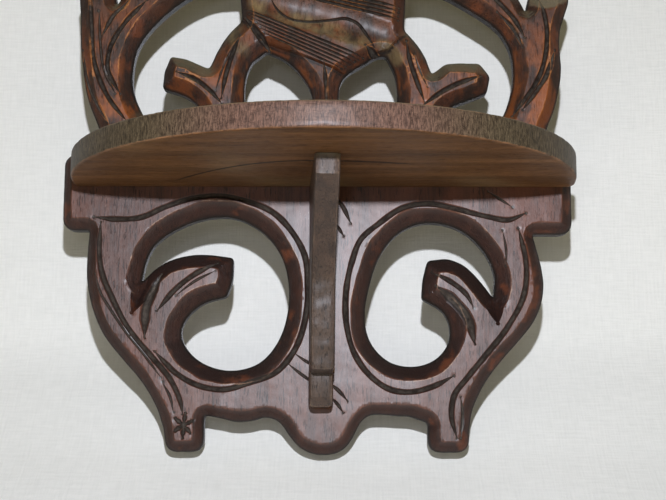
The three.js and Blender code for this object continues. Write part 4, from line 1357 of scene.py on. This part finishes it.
# Painted glow: orange patches of light painted on the board just over the shelf, fading out
# upwards.
glow_cloud = mapped_noise(tree, where, 0.085, 2.0, 3.0, 0.6)
glow_patch = between(tree, glow_cloud, 0.46, 0.60)
glow_low = between(tree, height_up.outputs["Z"], 0.110, 0.014)
painted_glow = worked(tree, "MULTIPLY", glow_patch, worked(tree, "MULTIPLY", glow_low, above_shelf))
painted_glow = worked(tree, "MULTIPLY", painted_glow, 0.85)
glowing = mixed(tree, painted_glow, smoked, (0.33, 0.085, 0.012))
tan_cloud = mapped_noise(tree, where, 0.09, 1.6, 3.0, 0.6)
tan_patch = between(tree, tan_cloud, 0.36, 0.66)
rubbed_off = worked(tree, "MULTIPLY", attribute(tree, "rubbed"), tan_patch)
rubbed_down = mixed(tree, rubbed_off, glowing, (0.235, 0.158, 0.068))
print("back wood nodes so far", len(tree.nodes))

# %% [markdown]
# Dust lies on what faces up, and more of it above the shelf. Below the shelf the bevels
# that face up are painted darker still, partly pooled stain and partly painted shade. The
# sawn ends of the prongs and the rear were never stained, and bevels and branches took
# less of a gloss than the broad lower face.

# %% Dust, bare wood and gloss of the back
raised = worked(tree, "MULTIPLY_ADD", above_shelf, 0.85, 0.1)
upward = attribute(tree, "upward")
dust_here = worked(tree, "MULTIPLY", upward, raised)
tree.links.new(dust_here, aged.inputs["Upward"])
# Below the shelf, bevels that face up are darkened more, partly pooled stain and partly painted
# shade.
pooled_and_shaded_low = worked(tree, "MULTIPLY_ADD", upward, 0.55, 0.74)
bevel_here = node(tree, "ShaderNodeMix")
tree.links.new(above_shelf, bevel_here.inputs[0])
tree.links.new(pooled_and_shaded_low, bevel_here.inputs[2])
bevel_here.inputs[3].default_value = 0.42
tree.links.new(bevel_here.outputs[0], aged.inputs["Bevel Shade"])
# The worn colour of the arrises, partly wear and partly a painted highlight, is greyish below the
# shelf and bright orange above it.
warm_wear_and_highlight = mixed(tree, above_shelf, lower_tones["Wear And Highlight"], (0.42, 0.16, 0.045))
tree.links.new(warm_wear_and_highlight, aged.inputs["Wear And Highlight"])
sawn = attribute(tree, "cut_end")
ended = mixed(tree, worked(tree, "MULTIPLY", sawn, 0.8), rubbed_down, (0.26, 0.195, 0.115))
bare = between(tree, attribute(tree, "bare"), 0.85, 1.0)
bared = mixed(tree, worked(tree, "MULTIPLY", bare, 0.8), ended, (0.30, 0.19, 0.105))
tree.links.new(bared, aged.inputs["Wood"])
polished = between(tree, attribute(tree, "bevel"), 0.5, 0.05)
less_above = worked(tree, "MULTIPLY_ADD", above_shelf, -0.45, 1.0)
polished = worked(tree, "MULTIPLY", polished, less_above)
shader = tree.nodes["Principled BSDF"]
tree.links.new(worked(tree, "MULTIPLY_ADD", polished, 0.56, 0.06), shader.inputs["Coat Weight"])
dull = worked(tree, "MULTIPLY_ADD", polished, -0.14, 0.14)
tree.links.new(
    worked(tree, "ADD", aged.outputs["Roughness"], dull), shader.inputs["Roughness"],
)

bare_marks = np.zeros(len(board_mesh.vertices))
for polygon in board_mesh.polygons:
    if polygon.normal.y > 0.9:
        for index in polygon.vertices:
            bare_marks[index] = 1.0
set_mark(board_mesh, "bare", bare_marks)
board_mesh.materials.append(back_wood)
print("back wood nodes", len(tree.nodes))

# %% [markdown]
# The shelf and the bracket are shaped in edit mode and then cut with plain blocks and
# rods. These helpers select what each step works on and do the cutting.

# %% Helpers for shaping a piece
rod_sides = 48


def only(piece):
    """Deselects everything and makes one object the active one."""
    bpy.ops.object.select_all(action="DESELECT")
    piece.select_set(True)
    bpy.context.view_layer.objects.active = piece


def pick(piece, kind, wanted):
    """In edit mode, selects just the faces or edges for which wanted(element) is true."""
    bpy.ops.mesh.select_mode(type={"faces": "FACE", "edges": "EDGE"}[kind])
    bpy.ops.mesh.select_all(action="DESELECT")
    shape = bmesh.from_edit_mesh(piece.data)
    for element in getattr(shape, kind):
        if wanted(element):
            element.select_set(True)
    shape.select_flush_mode()
    bmesh.update_edit_mesh(piece.data)


def settle(piece):
    """Puts the piece's place into its mesh, so that its object sits at the origin."""
    only(piece)
    bpy.ops.object.transform_apply(location=True, rotation=True, scale=True)


def carve_out(piece, cutter):
    """Cuts one object out of another and deletes the cutter."""
    modifier = piece.modifiers.new("cut", "BOOLEAN")
    modifier.operation = "DIFFERENCE"
    modifier.solver = "EXACT"
    modifier.object = cutter
    only(piece)
    bpy.ops.object.modifier_apply(modifier=modifier.name)
    bpy.data.objects.remove(cutter)


def block(name, low, high):
    """A box between two corners, in metres, with its place in its mesh."""
    low, high = Vector(low), Vector(high)
    bpy.ops.mesh.primitive_cube_add(size=1, location=(low + high) / 2, scale=high - low)
    made = bpy.context.object
    made.name = name
    settle(made)
    return made


def rod_along_x(name, radius, length, place):
    """A round bar along X, with its place in its mesh."""
    bpy.ops.mesh.primitive_cylinder_add(
        vertices=rod_sides, radius=radius, depth=length, location=place,
        rotation=(0, math.radians(90), 0),
    )
    made = bpy.context.object
    made.name = name
    settle(made)
    return made


print("sides of a rod", rod_sides)

# %% [markdown]
# The shelf is a half-round board with small rounded corners at the rear. A round plate of
# as many points as the top view needs is moved onto that view and pulled up to the
# board's thickness, and its rims get a small worn bevel. Rings of cuts round the side
# then give points to move, because the side was left from the rasp.

# %% Shelf board
shelf_middle = (shelf_low.x + shelf_high.x) / 2
shelf_radius = (shelf_high.x - shelf_low.x) / 2
shelf_thickness = shelf_high.z - shelf_low.z
shelf_corner = 4 * MM
shelf_arris = 1.1 * MM
rim_inset = 1.6 * MM
arc_steps = 280
corner_steps = 6
corner_y = shelf_high.y - shelf_corner
start_angle = math.asin((back_low.y - corner_y) / shelf_radius)
top_view = []
for k in range(arc_steps + 1):
    angle = start_angle + k * (math.pi - 2 * start_angle) / arc_steps
    aside, forward = math.cos(angle), math.sin(angle)
    top_view.append((shelf_radius * aside, back_low.y - shelf_radius * forward))
left_turns = [math.radians(90) * (k + 1) / corner_steps for k in range(corner_steps)]
for side, turns in ((-1, left_turns), (1, left_turns[::-1])):
    for angle in turns:
        top_view.append((
            side * (shelf_radius - shelf_corner * (1 - math.cos(angle))),
            corner_y + shelf_corner * math.sin(angle),
        ))
bpy.ops.mesh.primitive_circle_add(vertices=len(top_view), radius=0.1, fill_type="NGON")
shelf = bpy.context.object
shelf.name = "half_round_shelf"
for vertex, (x, y) in zip(shelf.data.vertices, top_view):
    vertex.co = Vector((shelf_middle + x, y, shelf_low.z))
bpy.ops.object.mode_set(mode="EDIT")
bpy.ops.mesh.select_all(action="SELECT")
bpy.ops.mesh.extrude_region_move(
    TRANSFORM_OT_translate={"value": (0, 0, shelf_thickness)}
)
bpy.ops.mesh.select_all(action="SELECT")
bpy.ops.mesh.remove_doubles(threshold=1e-5)
bpy.ops.mesh.normals_make_consistent(inside=False)
pick(shelf, "faces", lambda f: abs(f.normal.z) > 0.99)
bpy.ops.mesh.region_to_loop()
bpy.ops.mesh.bevel(offset=shelf_arris, segments=3, affect="EDGES")
pick(shelf, "faces", lambda f: abs(f.normal.z) > 0.99 and len(f.verts) > 60)
bpy.ops.mesh.inset(thickness=rim_inset)
for share in (0.25, 0.5, 0.75):
    bpy.ops.mesh.select_all(action="SELECT")
    bpy.ops.mesh.bisect(
        plane_co=(0, 0, shelf_low.z + share * shelf_thickness), plane_no=(0, 0, 1),
    )
bpy.ops.object.mode_set(mode="OBJECT")
print("shelf faces", len(shelf.data.polygons), [round(v / MM, 2) for v in shelf.dimensions])

# %% [markdown]
# The rasp left shallow upright marks on the shelf's side, and years of handling wore its
# arrises unevenly. Each point of the side is moved a few tenths of a millimetre inwards,
# more at the rims, and never outwards, so the shelf keeps its size.

# %% Rasp marks and wear on the shelf's side
rasp_depth, rim_wear = 0.22, 0.55
side_band = 2.2
rim_start, rim_band = 4.2, 1.8
shelf_mid_z = (shelf_low.z + shelf_high.z) / 2 / MM
for vertex in shelf.data.vertices:
    x, y, z = vertex.co / MM
    out = Vector((x - shelf_middle / MM, y - back_low.y / MM, 0))
    if out.length < shelf_radius / MM - side_band:
        continue
    angle = math.degrees(math.atan2(out.y, out.x))
    mark = 0.5 + 0.5 * noise.noise(Vector((angle * 1.9, z * 0.12, 4.0)))
    chip = max(0.0, noise.noise(Vector((angle * 0.45, z * 0.3, 8.0))) - 0.12)
    at_rim = max(0.0, abs(z - shelf_mid_z) - rim_start) / rim_band
    inwards = rasp_depth * mark + rim_wear * at_rim * chip
    vertex.co -= out.normalized() * inwards * MM
    vertex.co.z -= math.copysign(0.5 * inwards * at_rim, z - shelf_mid_z) * MM
print("rasped points lie beyond mm", round(shelf_radius / MM - side_band, 1))

# %% [markdown]
# The shelf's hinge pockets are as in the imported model: the leaves lie flush in its top,
# and round rooms let the knuckles turn.

# %% Hinge pockets in the shelf
axis_y, axis_z = trough_axis[0] * MM, trough_axis[1] * MM
leaf_reach = (pocket_top - trough_axis[1]) * MM
above_top = 3 * MM
for number, middle in enumerate(hinge_middles):
    x = middle * MM
    half = pocket_half * MM
    pocket = block(
        f"pocket_{number}", (x - half, axis_y - leaf_reach, -pocket_depth * MM),
        (x + half, axis_y, above_top),
    )
    carve_out(shelf, pocket)
    room = rod_along_x(
        f"knuckle_room_{number}", trough_radius * MM, 2 * trough_half * MM, (x, axis_y, axis_z),
    )
    carve_out(shelf, room)

print("shelf faces after the cuts", len(shelf.data.polygons))

# %% [markdown]
# The finish needs to know where a piece's edges are: a point whose faces bend sharply
# outwards is on an arris. The shelf's curved side is marked too, as it has its own look.

# %% Marks on the shelf
def mark_edges(piece, blunt, sharpest):
    """Marks arrises by how much the faces round each point bend outwards, in degrees."""
    shape = bmesh.new()
    shape.from_mesh(piece.data)
    values = np.zeros(len(shape.verts))
    for v in shape.verts:
        bends_out = [
            math.degrees(e.calc_face_angle_signed(0.0)) for e in v.link_edges
            if len(e.link_faces) == 2
        ]
        sharp = max([0.0, *bends_out]) - blunt
        values[v.index] = min(1.0, max(0.0, sharp) / (sharpest - blunt))
    shape.free()
    set_mark(piece.data, "arris", values)
    mark_upward(piece.data)


mark_edges(shelf, blunt=12.0, sharpest=34.0)
on_side = np.zeros(len(shelf.data.vertices))
for polygon in shelf.data.polygons:
    if abs(polygon.normal.z) < 0.5 and polygon.normal.y < 0.7:
        for index in polygon.vertices:
            on_side[index] = 1.0
set_mark(shelf.data, "on_side", on_side)
only(shelf)
bpy.ops.object.shade_smooth_by_angle(angle=math.radians(35))
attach(shelf, "shelf")
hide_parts("shelf_board")
print("points on the shelf's side", int(on_side.sum()))

# %% [markdown]
# The shelf's grain runs from side to side. So the two ends of its curved side show end
# grain, which drank the stain and went dull and dark, while the middle of the side shows
# long grain, which took a polish.

# %% Shelf wood
shelf_tones = {
    "Light": (0.26, 0.120, 0.046), "Dark": (0.105, 0.046, 0.016), "Pore": (0.020, 0.010, 0.005),
    "Wear And Highlight": (0.27, 0.13, 0.06), "Wax": (0.07, 0.055, 0.035), "Dust": (0.16, 0.12, 0.07),
    "Stain And Shade": (0.016, 0.006, 0.004), "Glow": (0.17, 0.045, 0.014),
}
shelf_wood = wood_material("shelf_board_wood", (0, math.radians(90), 0), shelf_tones, 0.5)
tree = shelf_wood.node_tree
aged = tree.nodes["aged"]
figure = tree.nodes["figure"]
side = attribute(tree, "on_side")
where = node(tree, "ShaderNodeTexCoord").outputs["Object"]
centred = node(tree, "ShaderNodeMapping", Location=(-shelf_middle, 0, 0))
tree.links.new(where, centred.inputs["Vector"])
parts = node(tree, "ShaderNodeSeparateXYZ")
tree.links.new(centred.outputs["Vector"], parts.inputs["Vector"])
aside = worked(tree, "ABSOLUTE", parts.outputs["X"])
end_grain = between(tree, aside, 0.030, 0.080)
end_grain = worked(tree, "MULTIPLY", end_grain, side)
rasp = mapped_noise(tree, where, 1.6, 5.0, 4.0, 0.75)
rasp_mask = between(tree, rasp, 0.34, 0.68)
end_colour = mixed(tree, rasp_mask, (0.025, 0.017, 0.010), (0.145, 0.107, 0.062))
middle_colour = mixed(tree, rasp_mask, (0.055, 0.030, 0.022), (0.20, 0.110, 0.078))
side_colour = mixed(tree, end_grain, middle_colour, end_colour)
with_side = mixed(tree, side, figure.outputs["Color"], side_colour)
print("shelf wood nodes so far", len(tree.nodes))

# %% [markdown]
# The flat faces are streaked along the grain and lighter in broad patches. A crack runs
# across them in a shallow bow, dark with old dirt, and wavers a little.

# %% Streaks and crack of the shelf
crack_level = -0.074
bow_start, bow_left, bow_right = -0.0054, 10.2, 3.3
not_side = worked(tree, "SUBTRACT", 1.0, side)
from_start = worked(tree, "SUBTRACT", parts.outputs["X"], bow_start)
left_part = worked(tree, "POWER", worked(tree, "MINIMUM", from_start, 0.0), 2.0)
right_part = worked(tree, "POWER", worked(tree, "MAXIMUM", from_start, 0.0), 2.0)
bow = worked(tree, "MULTIPLY_ADD", left_part, bow_left, crack_level)
bow = worked(tree, "MULTIPLY_ADD", right_part, bow_right, bow)
off_bow = worked(tree, "SUBTRACT", parts.outputs["Y"], bow)
waver = mapped_noise(tree, where, 0.3, 1.0, 2.0, 0.5)
off_bow = worked(tree, "MULTIPLY_ADD", waver, 0.002, off_bow)
off_bow = worked(tree, "ABSOLUTE", worked(tree, "SUBTRACT", off_bow, 0.001))
in_crack = between(tree, off_bow, 0.0016, 0.0006)
from_crack_middle = worked(tree, "ABSOLUTE", worked(tree, "ADD", from_start, 0.011))
crack_reach = between(tree, from_crack_middle, 0.060, 0.050)
in_crack = worked(tree, "MULTIPLY", in_crack, crack_reach)
in_crack = worked(tree, "MULTIPLY", in_crack, not_side)
along_grain = figure.inputs["Vector"].links[0].from_socket
streak = mapped_noise(tree, along_grain, 0.10, 14.0, 5.0, 0.65)
streak_mask = worked(tree, "MULTIPLY", between(tree, streak, 0.30, 0.72), not_side)
streak_mask = worked(tree, "MULTIPLY", streak_mask, 0.7)
streaked = mixed(tree, streak_mask, with_side, (0.060, 0.026, 0.009))
# Broad lighter patches on the flat faces.
light_patch = mapped_noise(tree, where, 0.016, 1.0, 1.0, 0.5)
light_patch = worked(tree, "MULTIPLY", between(tree, light_patch, 0.48, 0.75), not_side)
light_patched = mixed(tree, worked(tree, "MULTIPLY", light_patch, 0.45), streaked, (0.27, 0.185, 0.10))
cracked = mixed(tree, in_crack, light_patched, (0.008, 0.005, 0.003))
tree.links.new(cracked, aged.inputs["Wood"])
rough_side = worked(tree, "MULTIPLY", end_grain, 0.22)
rougher = worked(tree, "ADD", aged.outputs["Roughness"], rough_side)
shader = tree.nodes["Principled BSDF"]
tree.links.new(rougher, shader.inputs["Roughness"])
tree.links.new(worked(tree, "MULTIPLY_ADD", side, 0.25, 0.05), shader.inputs["Coat Weight"])
shader.inputs["Specular IOR Level"].default_value = 0.1
shelf.data.materials.clear()
shelf.data.materials.append(shelf_wood)
print("shelf wood nodes", len(tree.nodes))

# %% [markdown]
# The bracket is a narrow board on edge, sawn to a curve that swells towards the tip and
# ends in a small block at the foot. Its side view is a closed row of points.

# %% Side view of the bracket
pin_low, pin_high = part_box("bracket_hinge_upper_pin")
bracket_pin = Vector(((pin_low.x + pin_high.x) / 2, (pin_low.y + pin_high.y) / 2, 0))
bracket_turn = 3.0
bracket_right = 0.7
bracket_left = -10.8
wall_forward = 2.0
rear_gap = 0.4
bracket_top = bracket_high.z / MM
bracket_foot = bracket_low.z / MM
tail_step = bracket_foot + 17
front_curve = curve_through(np.array([
    (78.1, bracket_top - 9), (58, bracket_top - 25), (38, bracket_top - 49.5),
    (34, (bracket_top - 49.5 + tail_step) / 2), (30, tail_step),
]), 2.0, flat_limit=1000)
side_view = [(79.6, bracket_top), (79.0, bracket_top - 4.5)]
side_view += [tuple(p) for p in front_curve]
side_view += [(24, tail_step - 0.7), (18, tail_step - 1.5), (17.5, tail_step - 6)]
side_view += [(16.5, bracket_foot + 4.5), (14.2, bracket_foot + 2.1), (12, bracket_foot)]
side_view += [(6, bracket_foot), (rear_gap, bracket_foot)]
side_view += [(rear_gap, z) for z in np.arange(bracket_foot + 6, bracket_top - 3, 6)]
side_view += [(rear_gap, bracket_top), (20, bracket_top), (40, bracket_top), (60, bracket_top)]
print("points of the side view", len(side_view))

# %% [markdown]
# The side view is filled and pulled out sideways, and the front's long edges are rounded.
# Cuts through the thickness then give the paring below points to move.

# %% Bracket
bracket_bevel = 2.1 * MM
side_inset = 1.4 * MM
bpy.ops.mesh.primitive_circle_add(vertices=len(side_view), radius=0.05, fill_type="NGON")
bracket = bpy.context.object
bracket.name = "swinging_bracket"
for vertex, (forward, z) in zip(bracket.data.vertices, side_view):
    vertex.co = Vector((bracket_right, wall_forward - forward, z)) * MM
bpy.ops.object.mode_set(mode="EDIT")
bpy.ops.mesh.select_all(action="SELECT")
bpy.ops.mesh.extrude_region_move(
    TRANSFORM_OT_translate={"value": ((bracket_left - bracket_right) * MM, 0, 0)}
)
bpy.ops.mesh.select_all(action="SELECT")
bpy.ops.mesh.normals_make_consistent(inside=False)
rear_y = (wall_forward - rear_gap) * MM


def is_front_arris(e):
    """True for the long edges of the front and the foot, which the carver rounded."""
    a, b = (v.co for v in e.verts)
    across = abs(a.x - b.x) > 1e-5
    at_rear = a.y > rear_y - 1e-5 and b.y > rear_y - 1e-5
    at_top = a.z > bracket_high.z - 1e-5 and b.z > bracket_high.z - 1e-5
    return not (across or at_rear or at_top)


pick(bracket, "edges", is_front_arris)
bpy.ops.mesh.bevel(offset=bracket_bevel, segments=2, affect="EDGES")
pick(bracket, "faces", lambda f: abs(f.normal.x) > 0.99 and len(f.verts) > 60)
bpy.ops.mesh.inset(thickness=side_inset)
for share in (0.3, 0.42, 0.5, 0.58, 0.7):
    bpy.ops.mesh.select_all(action="SELECT")
    cut_x = (bracket_left + share * (bracket_right - bracket_left)) * MM
    bpy.ops.mesh.bisect(plane_co=(cut_x, 0, 0), plane_no=(1, 0, 0))
bpy.ops.object.mode_set(mode="OBJECT")
print("bracket faces", len(bracket.data.polygons), [round(v / MM, 1) for v in bracket.dimensions])

# %% [markdown]
# The front of the bracket was pared with a chisel in short strokes, so it has flat facets
# that meet in low ridges. The points of the front are pushed back by steps that change
# every few millimetres, never forwards. Then the notches for the two hinges are cut.

# %% Pared front and hinge notches
mark_edges(bracket, blunt=20.0, sharpest=50.0)
stroke = 9.0
bracket_mid_x = (bracket_left + bracket_right) / 2
bracket_half = (bracket_right - bracket_left) / 2
for vertex in bracket.data.vertices:
    x, y, z = vertex.co / MM
    forward = wall_forward - y
    if forward < rear_gap + 4 or z > bracket_top - 0.05 or z < bracket_foot + 0.05:
        continue
    front_share = 1 - min(1.0, abs(x - bracket_mid_x) / bracket_half) ** 6
    on_front = 1.0 if forward > 15 else 0.4
    drift = 0.35 * noise.noise(Vector((x * 0.1, z * 0.05, 2.0)))
    facet = abs((z / stroke + drift) % 1.0 - 0.5)
    rough = 0.5 + 0.5 * noise.noise(Vector((x * 0.35, y * 0.1, z * 0.22)))
    push = (0.75 * facet + 0.45 * rough) * on_front * front_share
    vertex.co.y += push * MM
notch_half = 12.8
notch_left, notch_right = -14, 4
notch_front, notch_rear = -2.3, 8
for name in ("upper", "lower"):
    low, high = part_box(f"bracket_hinge_{name}_pin")
    z = (low.z + high.z) / 2
    notch = block(
        f"notch_{name}", (notch_left * MM, notch_front * MM, z - notch_half * MM),
        (notch_right * MM, notch_rear * MM, z + notch_half * MM),
    )
    carve_out(bracket, notch)

only(bracket)
bracket.matrix_world = Matrix.Translation(bracket_pin) @ Matrix.Rotation(
    math.radians(bracket_turn), 4, "Z"
)
settle(bracket)
only(bracket)
bpy.ops.object.shade_smooth_by_angle(angle=math.radians(22))
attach(bracket, "bracket")
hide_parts("support_bracket")
bracket_tones = {
    "Light": (0.080, 0.045, 0.028), "Dark": (0.022, 0.012, 0.008), "Pore": (0.012, 0.007, 0.005),
    "Wear And Highlight": (0.17, 0.11, 0.07), "Wax": (0.07, 0.055, 0.035), "Dust": (0.11, 0.085, 0.05),
    "Stain And Shade": (0.016, 0.006, 0.004), "Glow": (0.13, 0.045, 0.018),
}
bracket_wood = wood_material("support_bracket_wood", (0, 0, 0), bracket_tones, 0.46, coat=0.4)
bracket.data.materials.clear()
bracket.data.materials.append(bracket_wood)
made_low, made_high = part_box("support_bracket")
print("bracket box in mm", [round(v / MM, 2) for v in (*made_low, *made_high)])

# %% [markdown]
# The hinges, pins and screws are old brass and steel. Brass that was never polished turns
# brown and keeps its yellow only where it is rubbed, and steel goes grey with brown
# spots of rust. Both are drawn with one group, in two sets of colours.

# %% Old metal as a node group
old_metal, metal_in, metal_out = new_group(
    "old_metal",
    [
        ("Vector", "vector", None), ("Bright", "colour", (0.5, 0.36, 0.14, 1)),
        ("Tarnish", "colour", (0.12, 0.075, 0.03, 1)), ("Spots", "colour", (0.05, 0.03, 0.015, 1)),
        ("Roughness", "value", 0.4),
    ],
    [("Color", "colour"), ("Roughness", "value"), ("Metallic", "value"), ("Height", "value")],
)
spot = metal_in.outputs["Vector"]
cloud = mapped_noise(old_metal, spot, 0.25, 1.0, 4.0, 0.65)
grit = mapped_noise(old_metal, spot, 1.8, 1.0, 3.0, 0.6)
scratch = mapped_noise(old_metal, spot, 2.5, 0.08, 2.0, 0.5)
tarnish = between(old_metal, cloud, 0.35, 0.65)
spots = between(old_metal, grit, 0.60, 0.70)
coated = mixed(old_metal, tarnish, metal_in.outputs["Bright"], metal_in.outputs["Tarnish"])
spotted = mixed(old_metal, spots, coated, metal_in.outputs["Spots"])
dull = worked(old_metal, "MULTIPLY_ADD", tarnish, 0.22, metal_in.outputs["Roughness"])
dull = worked(old_metal, "MULTIPLY_ADD", spots, 0.2, dull)
bare = worked(old_metal, "MULTIPLY_ADD", spots, -0.7, 0.95)
relief = worked(old_metal, "MULTIPLY_ADD", scratch, 0.4, worked(old_metal, "MULTIPLY", spots, 0.5))
old_metal.links.new(spotted, metal_out.inputs["Color"])
old_metal.links.new(dull, metal_out.inputs["Roughness"])
old_metal.links.new(bare, metal_out.inputs["Metallic"])
old_metal.links.new(relief, metal_out.inputs["Height"])
print("old metal nodes", len(old_metal.nodes))

# %% [markdown]
# The leaves, knuckles, pins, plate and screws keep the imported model's shapes. The screws
# and the hanger plate are steel, and all the rest is brass.

# %% Brass and steel
def metal_material(name, bright, tarnished, spot_colour, roughness):
    """Old metal with the given bright, tarnished and spot colours."""
    material, tree, shader = new_material(name)
    where = node(tree, "ShaderNodeTexCoord").outputs["Object"]
    metal = node(tree, "ShaderNodeGroup", node_tree=old_metal)
    tree.links.new(where, metal.inputs["Vector"])
    for socket_name, given in (("Bright", bright), ("Tarnish", tarnished), ("Spots", spot_colour)):
        metal.inputs[socket_name].default_value = (*given, 1)
    metal.inputs["Roughness"].default_value = roughness
    for out_name, socket_name in (
        ("Color", "Base Color"), ("Roughness", "Roughness"), ("Metallic", "Metallic"),
    ):
        tree.links.new(metal.outputs[out_name], shader.inputs[socket_name])
    bump = node(tree, "ShaderNodeBump", Strength=0.5, Distance=0.00008)
    tree.links.new(metal.outputs["Height"], bump.inputs["Height"])
    tree.links.new(bump.outputs["Normal"], shader.inputs["Normal"])
    return material


brass = metal_material(
    "aged_brass_metal", (0.46, 0.33, 0.14), (0.16, 0.105, 0.045), (0.05, 0.035, 0.02), 0.36
)
steel = metal_material(
    "aged_steel_metal", (0.36, 0.35, 0.34), (0.14, 0.13, 0.12), (0.09, 0.045, 0.02), 0.40
)
for name, cad_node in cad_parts.items():
    chosen = steel if "screw" in name or name == "hanger_plate" else brass
    for material_slot in cad_node.material_slots:
        material_slot.material = chosen
print("metals", brass.name, steel.name)
